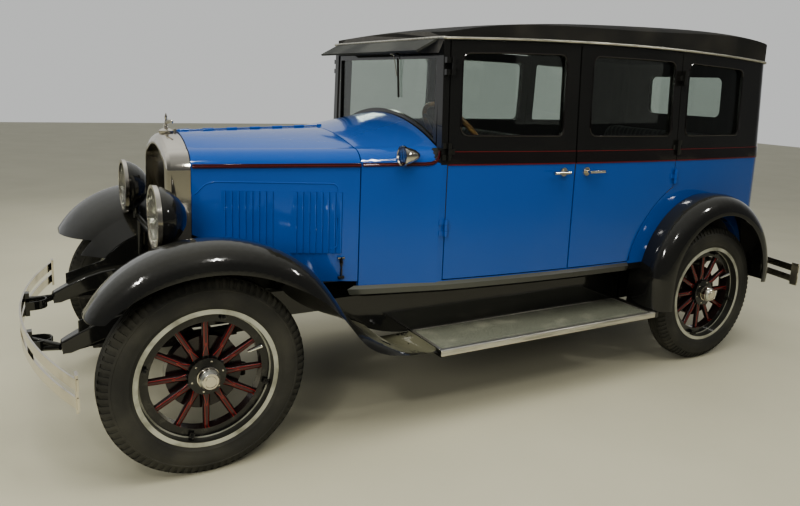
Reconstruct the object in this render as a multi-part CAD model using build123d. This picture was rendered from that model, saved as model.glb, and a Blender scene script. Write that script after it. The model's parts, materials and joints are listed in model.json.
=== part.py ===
from build123d import *
from math import acos, atan2, cos, pi, radians, sin, sqrt
import os

os.makedirs("parts", exist_ok=True)

# A closed four-door sedan of the late 1920s. Millimetres, +X forward, +Y to the car's left, +Z up.
# Sizes are written from the middle of the wheelbase. At export the car moves along X so that
# its own middle stands on the origin.

# Wheels and running gear
WHEELBASE = 2920.0
TRACK = 1422.0
TYRE_R = 400.0
TYRE_HALF_W = 70.0
TYRE_WIDE_R = TYRE_R - 74.0
BEAD_R = 268.0
BEAD_HALF_W = 50.0
WALL_FLARE = (TYRE_HALF_W - BEAD_HALF_W) / (TYRE_WIDE_R - BEAD_R)
RIM_LIP_R = 280.0
RIM_LIP_T = 6.0
RIM_T = 8.0
FELLOE_DEPTH = 40.0
FELLOE_HALF_W = 24.0
SPOKES = 12
SPOKE_ROOT_R = 17.0
SPOKE_TIP_R = 13.0
HUB_R = 46.0
HUB_FLANGE_R = 74.0
HUB_FLANGE_T = 8.0
HUB_CAP_R = 40.0
HUB_CAP_OUT = 89.0
DRUM_R = 150.0
DRUM_W = 46.0
DRUM_T = 7.0
SPINDLE_R = 22.0
SPINDLE_FIT = 0.1
PLATE_T = 5.0
KINGPIN_Y = TRACK / 2 - 111.0
KINGPIN_R = 14.0
KINGPIN_FIT = 0.1
AXLE_BEAM_H = 60.0
AXLE_BEAM_W = 46.0
AXLE_DROP = 62.0
REAR_TUBE_R = 38.0
DIFF_R = 118.0
SPRING_W = 44.0
LEAF_T = 9.0

# Frame
RAIL_Y = 350.0
RAIL_W = 46.0
RAIL_BOTTOM = 470.0
RAIL_TOP = 590.0
RAIL_WALL = 6.0
FRONT_X = WHEELBASE / 2
REAR_X = -WHEELBASE / 2
HORN_X = FRONT_X + 486.0
HORN_Z = 455.0
RAIL_REAR_X = REAR_X - 625.0

# Body plan: half widths at the belt
DASH_X = 722.0
A_X = 320.0
B_X = -418.0
C_X = -1160.0
CORNER_X = REAR_X - 445.0
HALF_DASH = 548.0
HALF_A = 628.0
HALF_MID = 690.0
HALF_REAR = 640.0
CORNER_R = 150.0
WALL = 38.0
TUMBLE = 24.0

# Body heights
FLOOR_Z = 625.0
FLOOR_T = 35.0
BELT_Z = 1190.0
ROOF_EDGE = 1760.0
ROOF_EDGE_RISE = 26.0
ROOF_WALL = 40.0

# Doors and windows
DOOR_GAP = 5.0
DOOR_MEET_GAP = 8.0
DOOR_BOTTOM = 640.0
GLASS_T = 5.0
GLASS_IN = 16.0
GLASS_EDGE = 8.0
SILL_Z = 1326.0
HEAD_DROP = 58.0
CORNER_WIN_R = 22.0
HINGE_R = 9.0
HINGE_OUT = 11.0
HINGE_H = 26.0
HINGE_PIN_R = 4.0
HINGE_FIT = 0.1

# Hood and radiator
HOOD_X = FRONT_X - 45.0
HOOD_T = 4.0
HOOD_GAP = 5.0
SHELL_X = HOOD_X + 100.0
SHELL_WALL = 52.0
SHELL_BOTTOM = 560.0
HOOD_PIN_R = 3.0
HOOD_KNUCKLE_R = 6.0
HOOD_KNUCKLE_GAP = 1.5

# Fenders and boards
FENDER_T = 4.0
FENDER_Y = TRACK / 2 + 49.0
FENDER_REACH_IN = 290.0
FENDER_REACH_OUT = 108.0
FRONT_ARCH_X = FRONT_X - 30.0
FRONT_ARCH_Z = TYRE_R
FRONT_ARCH_R = TYRE_R + 150.0
FENDER_INNER_R = TYRE_R + 40.0
FENDER_NOSE_Z = TYRE_R + 300.0
FENDER_SWEEP = 60.5
REAR_ARCH_X = REAR_X + 20.0
REAR_ARCH_Z = TYRE_R + 98.0
REAR_ARCH_R = TYRE_R + 100.0
BOARD_TOP = 372.0
BOARD_T = 30.0
BOARD_IN = FENDER_Y - 212.0
BOARD_OUT = FENDER_Y + 75.0
BOARD_REAR_X = REAR_ARCH_X + REAR_ARCH_R - 60.0
APRON_T = 4.0

# Lamps
LAMP_X = SHELL_X + 78.0
LAMP_Y = 443.0
LAMP_Z = 980.0
LAMP_R = 137.0
LAMP_DEEP = 128.0
COWL_LAMP_X = 560.0
COWL_LAMP_Y = 628.0
COWL_LAMP_Z = 1236.0
COWL_LAMP_R = 46.0

# Bumpers and spare
BUMPER_X = HORN_X + 144.0
BUMPER_END_X = BUMPER_X - 165.0
BUMPER_HALF = 850.0
BUMPER_BAR_H = 42.0
BUMPER_BAR_T = 8.0
BUMPER_Z = 459.0
BUMPER_PITCH = 68.0
REAR_BUMPER_X = RAIL_REAR_X - 245.0
SPARE_Z = 800.0
SPARE_X = CORNER_X - CORNER_R - 91.0

MID_X = (BUMPER_X + BUMPER_BAR_T / 2 + REAR_BUMPER_X - BUMPER_BAR_T / 2) / 2


def save(name, *solids):
    """Write one node, moved so that the car's middle is over the origin."""
    moved = [Pos(-MID_X, 0, 0) * s for s in solids]
    shape = moved[0] if len(moved) == 1 else Compound(children=[m for m in moved])
    export_step(shape, f"parts/{name}.step")


def block(x0, x1, y0, y1, z0, z1):
    """A box between two values on each axis."""
    place = Pos((x0 + x1) / 2, (y0 + y1) / 2, (z0 + z1) / 2)
    return place * Box(abs(x1 - x0), abs(y1 - y0), abs(z1 - z0))


def flip(shape):
    """The same piece on the other side of the car."""
    return mirror(shape, about=Plane.XZ)


def rod_x(x0, x1, y, z, r):
    return Pos((x0 + x1) / 2, y, z) * Rot(0, 90, 0) * Cylinder(r, abs(x1 - x0))


def rod_y(x, y0, y1, z, r):
    return Pos(x, (y0 + y1) / 2, z) * Rot(90, 0, 0) * Cylinder(r, abs(y1 - y0))


def rod_z(x, y, z0, z1, r):
    return Pos(x, y, (z0 + z1) / 2) * Cylinder(r, abs(z1 - z0))


def rod(a, b, r):
    """A round bar between two points."""
    a, b = Vector(*a), Vector(*b)
    path = Line(a, b)
    return sweep(Plane(origin=a, z_dir=(b - a)) * Circle(r), path=path)


def across(outline, y0, y1):
    """A closed outline in XZ, made solid from y0 to y1."""
    return extrude(Pos(0, y0, 0) * make_face(outline), amount=y1 - y0, dir=(0, 1, 0))


def along(outline, x0, x1):
    """A closed outline in YZ, made solid from x0 to x1."""
    return extrude(Pos(x0, 0, 0) * make_face(outline), amount=x1 - x0, dir=(1, 0, 0))


def p_xz(*points):
    return Polyline(*[(x, 0, z) for x, z in points], close=True)


def p_yz(*points):
    return Polyline(*[(0, y, z) for y, z in points], close=True)


# Body surfaces
def plan_face(inset, z, front):
    """The body's plan at height z, drawn in by inset, from the front plane round the back."""
    r = CORNER_R - inset
    cy = HALF_REAR - CORNER_R
    a = (A_X, HALF_A - inset, z)
    m = ((A_X + CORNER_X) / 2, HALF_MID + 6 - inset, z)
    c = (CORNER_X, HALF_REAR - inset, z)
    k = (CORNER_X - r * cos(pi / 4), cy + r * sin(pi / 4), z)
    e = (CORNER_X - r, cy, z)

    def other(p):
        return (p[0], -p[1], p[2])

    f = (front, HALF_A - inset, z)
    edges = [
        ThreePointArc(a, m, c),
        ThreePointArc(c, k, e),
        Line(e, other(e)),
        ThreePointArc(other(e), other(k), other(c)),
        ThreePointArc(other(c), other(m), other(a)),
    ]
    if front > A_X:
        edges += [Line(other(a), other(f)), Line(other(f), f), Line(f, a)]
    else:
        edges += [Line(other(a), a)]
    return make_face(edges)


def body_block(inset, z0=None, z1=None, front=A_X):
    """The body's outer form, drawn in by inset: upright to the belt, leaning in above it."""
    z0 = FLOOR_Z if z0 is None else z0
    top = ROOF_EDGE + 40 if z1 is None else z1
    low = extrude(plan_face(inset, z0, front), amount=BELT_Z - z0, dir=(0, 0, 1))
    high = loft([plan_face(inset, BELT_Z, front), plan_face(inset + TUMBLE, top, front)], ruled=True)
    return low + high


def half_width(x):
    """Half width of the body at the belt, on the same arc as the plan."""
    xm = (A_X + CORNER_X) / 2
    ym = HALF_MID + 6
    half = (A_X - CORNER_X) / 2
    mean = (HALF_A + HALF_REAR) / 2
    slope = (HALF_A - HALF_REAR) / (A_X - CORNER_X)
    u = (x - xm) / half
    return mean + slope * (x - xm) + (ym - mean) * (1 - u * u)


def rail_region(drop, x0, x1, z0):
    """Everything under the roof's lower edge line, less drop, between two cuts."""
    def edge(x):
        xm = (A_X + CORNER_X) / 2
        u = (x - xm) / ((A_X - CORNER_X) / 2)
        return ROOF_EDGE + ROOF_EDGE_RISE * (1 - u * u) - drop
    xm = (x0 + x1) / 2
    outline = [
        Line((x0, 0, z0), (x1, 0, z0)),
        Line((x1, 0, z0), (x1, 0, edge(x1))),
        ThreePointArc((x1, 0, edge(x1)), (xm, 0, edge(xm)), (x0, 0, edge(x0))),
        Line((x0, 0, edge(x0)), (x0, 0, z0)),
    ]
    return make_face(outline)


def roof_section(x, w, ze, zc, hs):
    """One cross-section of the roof: upright edge, rounded shoulder, long crown."""
    ys = w - 100
    zs = ze + hs
    zu = ze + 0.35 * hs

    def p(y, z):
        return (x, y, z)
    sh = (w - 22, zu + 0.62 * (zs - zu))
    edges = [
        Line(p(-w, ze), p(w, ze)),
        Line(p(w, ze), p(w, zu)),
        ThreePointArc(p(w, zu), p(*sh), p(ys, zs)),
        ThreePointArc(p(ys, zs), p(0, zc), p(-ys, zs)),
        ThreePointArc(p(-ys, zs), p(-sh[0], sh[1]), p(-w, zu)),
        Line(p(-w, zu), p(-w, ze)),
    ]
    return make_face(edges)


# x, height of the crown above the roof edge
ROOF_ROWS = [
    (A_X + 16, 46.0),
    (0.0, 100.0),
    (-760.0, 148.0),
    (-1700.0, 152.0),
    (CORNER_X - CORNER_R, 106.0),
]
ROOF_SKIRT = 60.0


def roof_block(inset):
    rows = []
    low = ROOF_EDGE - ROOF_SKIRT
    for x, rise in ROOF_ROWS:
        w = HALF_MID + 30 - inset
        crown = ROOF_EDGE + rise - inset
        rows.append(roof_section(x, w, low, crown, crown - low - 14))
    return loft(rows, ruled=False)


body_out = body_block(0)
body_in = body_block(WALL, z0=FLOOR_Z - 10, z1=ROOF_EDGE + 60, front=A_X + 20)
shell = body_out - body_in
pane_skin = body_block(GLASS_IN) - body_block(GLASS_IN + GLASS_T, z0=FLOOR_Z - 10, z1=ROOF_EDGE + 60, front=A_X + 20)

arch_cut = rod_y(REAR_ARCH_X, -900, 900, REAR_ARCH_Z, REAR_ARCH_R + 112)
arch_keep = rod_y(REAR_ARCH_X, -900, 900, REAR_ARCH_Z, REAR_ARCH_R + 112 - DOOR_GAP)

# name, front cut, rear cut, hinge at the front
DOOR_ROWS = [
    ("front", A_X - DOOR_GAP, B_X + DOOR_MEET_GAP / 2, True),
    ("rear", B_X - DOOR_MEET_GAP / 2, C_X + DOOR_GAP, False),
]
# name, front edge, rear edge of each side window
WINDOW_ROWS = [
    ("front", 255.0, -332.0),
    ("rear", -500.0, -1104.0),
    ("quarter", -1218.0, -1730.0),
]


def window_hole(front, rear, grow, y0, y1):
    face = rail_region(HEAD_DROP - grow, rear - grow, front + grow, SILL_Z - grow)
    hole = extrude(Pos(0, y0, 0) * face, amount=y1 - y0, dir=(0, 1, 0))
    return fillet(hole.edges().filter_by(Axis.Y), CORNER_WIN_R)


def hinge_axis(front):
    """Where a door's upright hinge line stands, in plan."""
    x = A_X - DOOR_GAP / 2 if front else C_X + DOOR_GAP / 2
    return x, half_width(x) + HINGE_OUT


HINGE_Z = [1100.0, 1262.0, ROOF_EDGE - 120]
FRONT_HINGE_Z = [892.0, 1251.0, ROOF_EDGE - 120]


def hinge_half(front, on_door, z_from=0.0, z_to=3000.0):
    """Knuckles and leaves on one side of the hinge line, for the hinges between two heights."""
    x, y = hinge_axis(front)
    zs = [z for z in (FRONT_HINGE_Z if front else HINGE_Z) if z_from < z < z_to]
    toward = -1 if front == on_door else 1
    out = None
    for z in zs:
        spans = [(-HINGE_H / 2, HINGE_H / 2)] if on_door else [
            (-HINGE_H * 1.5 - 1, -HINGE_H / 2 - 1), (HINGE_H / 2 + 1, HINGE_H * 1.5 + 1)]
        lean = TUMBLE * max(0.0, z - BELT_Z) / (ROOF_EDGE + 40 - BELT_Z)
        for a, b in spans:
            knuckle = rod_z(x, y, z + a, z + b, HINGE_R)
            leaf = block(x, x + toward * 34, y - HINGE_OUT - lean - 3, y - HINGE_OUT + 4, z + a, z + b)
            web = block(x, x + toward * 8, y - HINGE_OUT - lean - 3, y, z + a, z + b)
            piece = knuckle + leaf + web
            if on_door:
                piece -= rod_z(x, y, z - 100, z + 100, HINGE_PIN_R + HINGE_FIT)
            out = piece if out is None else out + piece
        if not on_door:
            out += rod_z(x, y, z - HINGE_H * 1.5 - 3, z + HINGE_H * 1.5 + 3, HINGE_PIN_R)
    return out


def door(name, x_front, x_rear, front_hinged):
    z_edge = DOOR_GAP + 1
    region = extrude(Pos(0, 200, 0) * rail_region(z_edge, x_rear, x_front, DOOR_BOTTOM), amount=700, dir=(0, 1, 0))
    panel = shell & region
    if name == "rear":
        panel -= arch_cut
    row = [w for w in WINDOW_ROWS if w[0] == name][0]
    panel -= window_hole(row[1], row[2], 0, 200, 900)
    glass = pane_skin & window_hole(row[1], row[2], GLASS_EDGE, 200, 900)
    panel -= glass
    panel += hinge_half(front_hinged, True)
    hx = x_rear + 70 if front_hinged else x_front - 70
    hy = half_width(hx)
    turn = 1 if front_hinged else -1
    handle = rod_y(hx, hy - 4, hy + 38, 1146, 8) + rod_x(hx - 12 * turn, hx + 92 * turn, hy + 38, 1146, 8)
    handle += rod_y(hx, hy - 4, hy + 6, 1146, 22)
    panel += handle
    return panel, glass


door_parts = {}
for name, x_front, x_rear, front_hinged in DOOR_ROWS:
    panel, glass = door(name, x_front, x_rear, front_hinged)
    door_parts[name] = (panel, glass)
    save(f"door_{name}_left", panel)
    save(f"door_{name}_right", flip(panel))
    save(f"door_glass_{name}_left", glass)
    save(f"door_glass_{name}_right", flip(glass))

# Fixed body
front_region = extrude(Pos(0, -900, 0) * rail_region(1, B_X + DOOR_MEET_GAP / 2 - 0.5, A_X + 30, DOOR_BOTTOM - DOOR_GAP), amount=1800, dir=(0, 1, 0))
rear_region = extrude(Pos(0, -900, 0) * rail_region(1, C_X, B_X + 1, DOOR_BOTTOM - DOOR_GAP), amount=1800, dir=(0, 1, 0)) - arch_keep
under_roof = extrude(Pos(0, -900, 0) * rail_region(0, CORNER_X - CORNER_R - 50, A_X + 50, FLOOR_Z - 60), amount=1800, dir=(0, 1, 0))
SPLIT_X = -862.0
sides = (shell & under_roof) - front_region - rear_region

REAR_WIN_HALF = 300.0
REAR_WIN_Z0 = ROOF_EDGE - 350
REAR_WIN_Z1 = ROOF_EDGE - 90


def rear_window(grow):
    hole = block(CORNER_X - 300, CORNER_X - 20, -REAR_WIN_HALF - grow, REAR_WIN_HALF + grow, REAR_WIN_Z0 - grow, REAR_WIN_Z1 + grow)
    return fillet(hole.edges().filter_by(Axis.X), 40)


WELL_R = TYRE_R + 78
rear_body = sides & block(-2300, SPLIT_X, -900, 900, FLOOR_Z - 60, 2000)
rear_body -= rod_y(REAR_X, -900, 900, TYRE_R, WELL_R)
_, q_front, q_rear = WINDOW_ROWS[2]
rear_body -= window_hole(q_front, q_rear, 0, -900, 900)
rear_body -= rear_window(0)
quarter_hole = window_hole(q_front, q_rear, GLASS_EDGE, 200, 900)
quarter_glass = pane_skin & quarter_hole
back_glass = pane_skin & rear_window(GLASS_EDGE)
rear_body -= quarter_glass
rear_body -= flip(quarter_glass)
rear_body -= back_glass
WELL_IN = TRACK / 2 - 105
for side in (1, -1):
    well = rod_y(REAR_X, side * WELL_IN, side * 700, TYRE_R, WELL_R + 6)
    well -= rod_y(REAR_X, side * (WELL_IN + 6), side * 720, TYRE_R, WELL_R)
    well &= body_block(2)
    well &= block(-2300, SPLIT_X, -900, 900, FLOOR_Z, TYRE_R + WELL_R + 20)
    rear_body += well
hinge_fixed_rear = hinge_half(False, False)
rear_body += hinge_fixed_rear
rear_body += flip(hinge_fixed_rear)
save("rear_body", rear_body)

A_POST = 34.0
sills = sides & block(SPLIT_X, A_X + 1, -900, 900, FLOOR_Z - 60, DOOR_BOTTOM)
posts = sills
for side in (1, -1):
    ya = HALF_A
    lean_face = [
        (side * (ya - 44), BELT_Z), (side * ya, BELT_Z),
        (side * (ya - TUMBLE), ROOF_EDGE), (side * (ya - 44 - TUMBLE), ROOF_EDGE)]
    posts += along(p_yz(*lean_face), A_X, A_X + A_POST)
    yb = half_width(B_X) - WALL - 6
    post = along(p_yz((side * (yb - 40), FLOOR_Z - 5), (side * yb, FLOOR_Z - 5), (side * yb, BELT_Z),
                      (side * (yb - TUMBLE), ROOF_EDGE + 20), (side * (yb - 40 - TUMBLE), ROOF_EDGE + 20)),
                 B_X - 36, B_X + 36)
    posts += post
    foot = block(B_X - 36, B_X + 36, side * (yb - 40), side * (yb + 40), FLOOR_Z, DOOR_BOTTOM - DOOR_GAP)
    posts += foot
HEADER_Z = ROOF_EDGE - 60
post_hinges = hinge_half(True, False, BELT_Z, 3000)
posts += post_hinges
posts += flip(post_hinges)
posts += block(A_X, A_X + A_POST, -(HALF_A - 40), HALF_A - 40, HEADER_Z, ROOF_EDGE)
save("body_frame", posts)

# Roof: a domed shell cut to the body's plan, with a rolled gutter all round
ROOF_LOW = ROOF_EDGE - ROOF_SKIRT - 10
roof_plan = plan_face(TUMBLE - 6, ROOF_LOW, A_X + A_POST + 2)
roof_plan_in = plan_face(TUMBLE - 6 + ROOF_WALL, ROOF_LOW, A_X + A_POST + 2 - ROOF_WALL)
roof_out = roof_block(0) & extrude(roof_plan, amount=400, dir=(0, 0, 1))
roof_in = roof_block(ROOF_WALL) & extrude(roof_plan_in, amount=400, dir=(0, 0, 1))
roof_shell = roof_out - roof_in
roof = roof_shell - under_roof - posts
save("roof", roof)

# Cowl: loft from the dash to the windshield
# x, half width, belt height, shoulder half width, shoulder height, top height
NOSE_ROWS = [
    (HOOD_X, 290.0, 1170.0, 222.0, 1240.0, 1297.0),
    (DASH_X, HALF_DASH, 1190.0, 470.0, 1258.0, 1322.0),
    (A_X + A_POST, HALF_A, 1196.0, 556.0, 1280.0, 1402.0),
]


def nose_section(row, inset, bottom):
    x, w, zb, ys, zs, zt = row
    w, ys, zs, zt = w - inset, ys - inset * 0.6, zs - inset * 0.8, zt - inset

    def p(y, z):
        return (x, y, z)
    sh = ((w + ys) / 2 + 0.16 * (w - ys), (zb + zs) / 2 + 0.16 * (w - ys))
    edges = [
        Line(p(-w, bottom), p(w, bottom)),
        Line(p(w, bottom), p(w, zb)),
        ThreePointArc(p(w, zb), p(*sh), p(ys, zs)),
        ThreePointArc(p(ys, zs), p(0, zt), p(-ys, zs)),
        ThreePointArc(p(-ys, zs), p(-sh[0], sh[1]), p(-w, zb)),
        Line(p(-w, zb), p(-w, bottom)),
    ]
    return make_face(edges)


def cowl_block(inset):
    return loft([nose_section(NOSE_ROWS[1], inset, FLOOR_Z - inset), nose_section(NOSE_ROWS[2], inset, FLOOR_Z - inset)], ruled=True)


COWL_WALL = 26.0
cowl = cowl_block(0) - cowl_block(COWL_WALL)
for side in (1, -1):
    piece = block(A_X, A_X + A_POST, side * (HALF_A - 60), side * HALF_A, FLOOR_Z, BELT_Z)
    cowl += piece
low_hinges = hinge_half(True, False, 0, BELT_Z)
cowl += low_hinges
cowl += flip(low_hinges)
cowl -= posts
save("cowl", cowl)

# Windshield: a frame between the posts, its foot following the cowl's arch
WS_X0 = A_X + 4
WS_X1 = A_X + A_POST - 6
WS_HALF = HALF_A - 44 - TUMBLE + 2
WS_FRAME = 26.0
WS_FOOT_SIDE = 1270.0
WS_FOOT_TOP = 1396.0


def ws_face(inset):
    w = WS_HALF - inset
    top, foot_side, foot_top = HEADER_Z, WS_FOOT_SIDE, WS_FOOT_TOP
    return [
        Line((0, -w, top - inset), (0, w, top - inset)),
        Line((0, w, top - inset), (0, w, foot_side + inset)),
        ThreePointArc((0, w, foot_side + inset), (0, 0, foot_top + inset), (0, -w, foot_side + inset)),
        Line((0, -w, foot_side + inset), (0, -w, top - inset)),
    ]


ws_outer = along(ws_face(0), WS_X0, WS_X1)
ws_inner = along(ws_face(WS_FRAME), WS_X0 - 5, WS_X1 + 5)
ws_glass = along(ws_face(WS_FRAME - GLASS_EDGE), WS_X0 + 8, WS_X0 + 8 + GLASS_T)
ws_frame = ws_outer - ws_inner - ws_glass - cowl - posts
save("windshield_frame", ws_frame)
save("fixed_glass", ws_glass, quarter_glass, flip(quarter_glass), back_glass)

# Sun visor under the roof's front edge
VISOR_HALF = 556.0
visor = across(p_xz((A_X + A_POST, ROOF_EDGE - 3), (A_X + A_POST + 6, ROOF_EDGE + 6), (A_X + A_POST + 118, ROOF_EDGE - 56),
                    (A_X + A_POST + 112, ROOF_EDGE - 64)), -VISOR_HALF, VISOR_HALF)
visor -= posts
visor -= roof
save("sun_visor", visor)

# Floor, with the upright dash board in front
floor = extrude(plan_face(0, FLOOR_Z - FLOOR_T, A_X), amount=FLOOR_T, dir=(0, 0, 1))
floor += across(p_xz((A_X, FLOOR_Z - FLOOR_T), (DASH_X, FLOOR_Z - FLOOR_T), (DASH_X, FLOOR_Z), (A_X, FLOOR_Z)), -HALF_DASH, HALF_DASH)
for side in (1, -1):
    floor -= block(REAR_X - 500, REAR_X + 500, side * (WELL_IN - 1), side * 900, 500, 700)
DASH_T = 22.0
dash_board = cowl_block(COWL_WALL + 0.0) & block(DASH_X - DASH_T, DASH_X, -700, 700, FLOOR_Z, 1500)
floor += dash_board
floor -= posts
save("floor", floor)

# Hood
hood_out = loft([nose_section(NOSE_ROWS[0], 0, 300), nose_section(NOSE_ROWS[1], 0, 300)], ruled=True)
hood_in = loft([nose_section(NOSE_ROWS[0], HOOD_T, 200), nose_section(NOSE_ROWS[1], HOOD_T, 200)], ruled=True)
hood_skin = hood_out - hood_in
HOOD_FRONT_LOW = 868.0
HOOD_REAR_LOW = 652.0
HOOD_KNEE_X = DASH_X + 205
x_f, x_r = HOOD_X - 2, DASH_X + HOOD_GAP
zf, zr = NOSE_ROWS[0][2], NOSE_ROWS[1][2]


def belt_at(x):
    return zf + (zr - zf) * (HOOD_X - x) / (HOOD_X - DASH_X)


def low_at(x):
    rise = max(0.0, (x - HOOD_KNEE_X) / (HOOD_X - HOOD_KNEE_X))
    return HOOD_REAR_LOW + (HOOD_FRONT_LOW - HOOD_REAR_LOW) * rise


def side_at(x):
    return NOSE_ROWS[0][1] + (HALF_DASH - NOSE_ROWS[0][1]) * (HOOD_X - x) / (HOOD_X - DASH_X)


EDGE = 2.0
top_zone = across(p_xz((x_f, belt_at(x_f) + EDGE), (x_f, 1500), (x_r, 1500), (x_r, belt_at(x_r) + EDGE)), 3, 900)
side_zone = across(p_xz((x_f, low_at(x_f)), (x_f, belt_at(x_f) - EDGE), (x_r, belt_at(x_r) - EDGE), (x_r, low_at(x_r)),
                        (HOOD_KNEE_X, low_at(HOOD_KNEE_X))), 100, 900)
hood_top = hood_skin & top_zone
hood_side = hood_skin & side_zone

# long hinges: knuckles of the two leaves take turns along one pin
def between(a, b, t):
    return tuple(p + (q - p) * t for p, q in zip(a, b))


def knuckles(a, b, count, first, r, slack):
    """Every second stretch of the line from a to b, as round bars."""
    bars = []
    for i in range(first, count, 2):
        bars.append(rod(between(a, b, (i + slack) / count), between(a, b, (i + 1 - slack) / count), r))
    return bars


KNUCKLES = 9
hinge_a = (x_f - 6, side_at(x_f - 6) + 3.0, belt_at(x_f - 6))
hinge_b = (x_r + 6, side_at(x_r + 6) + 3.0, belt_at(x_r + 6))
for bar in knuckles(hinge_a, hinge_b, KNUCKLES, 1, HOOD_KNUCKLE_R + HOOD_KNUCKLE_GAP, -0.02):
    hood_top -= bar
for bar in knuckles(hinge_a, hinge_b, KNUCKLES, 0, HOOD_KNUCKLE_R + HOOD_KNUCKLE_GAP, -0.02):
    hood_side -= bar
for bar in knuckles(hinge_a, hinge_b, KNUCKLES, 0, HOOD_KNUCKLE_R, 0.02):
    hood_top += bar
hood_top += rod(hinge_a, hinge_b, HOOD_PIN_R)
for bar in knuckles(hinge_a, hinge_b, KNUCKLES, 1, HOOD_KNUCKLE_R, 0.02):
    hood_side += bar
hood_side -= rod(hinge_a, hinge_b, HOOD_PIN_R + HINGE_FIT)

# centre hinge: one pin held by the radiator shell and the cowl, with eyes of both top panels on it
CENTRE_RISE = 4.0
centre_a = (x_f - 2, 0, NOSE_ROWS[0][5] + CENTRE_RISE)
centre_b = (x_r + 2, 0, NOSE_ROWS[1][5] + CENTRE_RISE)
line_a = between(centre_a, centre_b, -0.02)
line_b = between(centre_a, centre_b, 1.03)
centre_pin = rod(line_a, line_b, HOOD_PIN_R)
EYES = 12
hood_tops = {}
for side, first in ((1, 0), (-1, 2)):
    panel = hood_top if side > 0 else flip(hood_top)
    for i in range(EYES):
        eye = rod(between(centre_a, centre_b, (i + 0.06) / EYES), between(centre_a, centre_b, (i + 0.94) / EYES), HOOD_KNUCKLE_R)
        if i % 4 == first:
            panel += eye
        else:
            panel -= rod(between(centre_a, centre_b, i / EYES), between(centre_a, centre_b, (i + 1) / EYES), HOOD_KNUCKLE_R + 1)
    panel -= rod(line_a, line_b, HOOD_PIN_R + HINGE_FIT)
    hood_tops[side] = panel

# louvres: two groups of eight on each side panel
LOUVRE_ROWS = [(1290.0, 1098.0), (1000.0, 812.0)]
LOUVRES = 8
LOUVRE_W = 16.0
LOUVRE_OUT = 9.0
LOUVRE_Z0 = 785.0
LOUVRE_Z1 = 1065.0
slant = atan2(HALF_DASH - NOSE_ROWS[0][1], HOOD_X - DASH_X)
for front, rear in LOUVRE_ROWS:
    for i in range(LOUVRES):
        x = front + (rear - front) * i / (LOUVRES - 1)
        z0 = max(LOUVRE_Z0, low_at(x) + 40)
        y = side_at(x)
        profile = Polyline((LOUVRE_W, -2), (-LOUVRE_W, -2), (-LOUVRE_W, 0), (-LOUVRE_W + 5, LOUVRE_OUT), (-LOUVRE_W + 10, LOUVRE_OUT), (LOUVRE_W, 0), close=True)
        place = Plane(origin=(x, y, z0), x_dir=(cos(slant), -sin(slant), 0), z_dir=(0, 0, 1))
        hood_side += extrude(place * make_face(profile), amount=LOUVRE_Z1 - z0, dir=(0, 0, 1))
save("hood_top_left", hood_tops[1])
save("hood_top_right", hood_tops[-1])
save("hood_side_left", hood_side)
save("hood_side_right", flip(hood_side))

# Radiator
def shell_face(inset, bottom):
    return nose_section((0, 290.0, 1150.0, 210.0, 1238.0, 1292.0), inset, bottom)


# x forward of the hood line and how far the outline draws in there
SHELL_ROWS = [(0.0, 0.0), (58.0, 0.0), (80.0, 6.0), (94.0, 18.0), (SHELL_X - HOOD_X, 36.0)]
rad_faces = [Pos(HOOD_X + dx, 0, 0) * shell_face(inset, SHELL_BOTTOM) for dx, inset in SHELL_ROWS]
rad_outer = loft(rad_faces, ruled=True)
rad_hole = extrude(Pos(HOOD_X - 10, 0, 0) * shell_face(SHELL_WALL, SHELL_BOTTOM + 60), amount=200, dir=(1, 0, 0))
rad_shell = rad_outer - rad_hole
rad_shell += block(HOOD_X + 2, HOOD_X + 11, -10, 10, NOSE_ROWS[0][5] - 16, NOSE_ROWS[0][5] + CENTRE_RISE + 8)
rad_shell -= centre_pin
save("radiator_shell", rad_shell)
foot = block(DASH_X - 26, DASH_X - 10, -10, 10, NOSE_ROWS[1][5] - 10, NOSE_ROWS[1][5] + 12)
foot -= cowl_block(0)
hood_pin = centre_pin + foot
save("hood_pin", hood_pin - rad_shell - cowl)

CORE_X0 = 1425.0
CORE_X1 = 1470.0
core = extrude(Pos(CORE_X0, 0, 0) * shell_face(SHELL_WALL, SHELL_BOTTOM + 60), amount=CORE_X1 - CORE_X0, dir=(1, 0, 0))
BARS = 18
half_open = 290.0 - SHELL_WALL
for i in range(BARS):
    y = -half_open + (i + 0.5) * 2 * half_open / BARS
    bar = block(CORE_X1 - 1, CORE_X1 + 16, y - 4.5, y + 4.5, SHELL_BOTTOM + 62, 1300)
    bar &= extrude(Pos(CORE_X0, 0, 0) * shell_face(SHELL_WALL, SHELL_BOTTOM + 60), amount=80, dir=(1, 0, 0))
    core += bar
save("radiator_core", core)

CAP_X = 1460.0
cap_z = 1290.0
cap = rod_z(CAP_X, 0, cap_z - 14, cap_z + 8, 30) + rod_z(CAP_X, 0, cap_z + 8, cap_z + 22, 24)
cap -= rad_shell
cap -= rad_outer
cap += rod_z(CAP_X, 0, cap_z + 20, cap_z + 44, 9)
wing = across(p_xz((CAP_X + 26, cap_z + 44), (CAP_X + 22, cap_z + 66), (CAP_X - 44, cap_z + 92), (CAP_X - 52, cap_z + 78), (CAP_X - 16, cap_z + 44)), -4, 4)
cap += wing
cap += Pos(CAP_X + 20, 0, cap_z + 58) * Sphere(12)
save("radiator_cap", cap)

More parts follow.
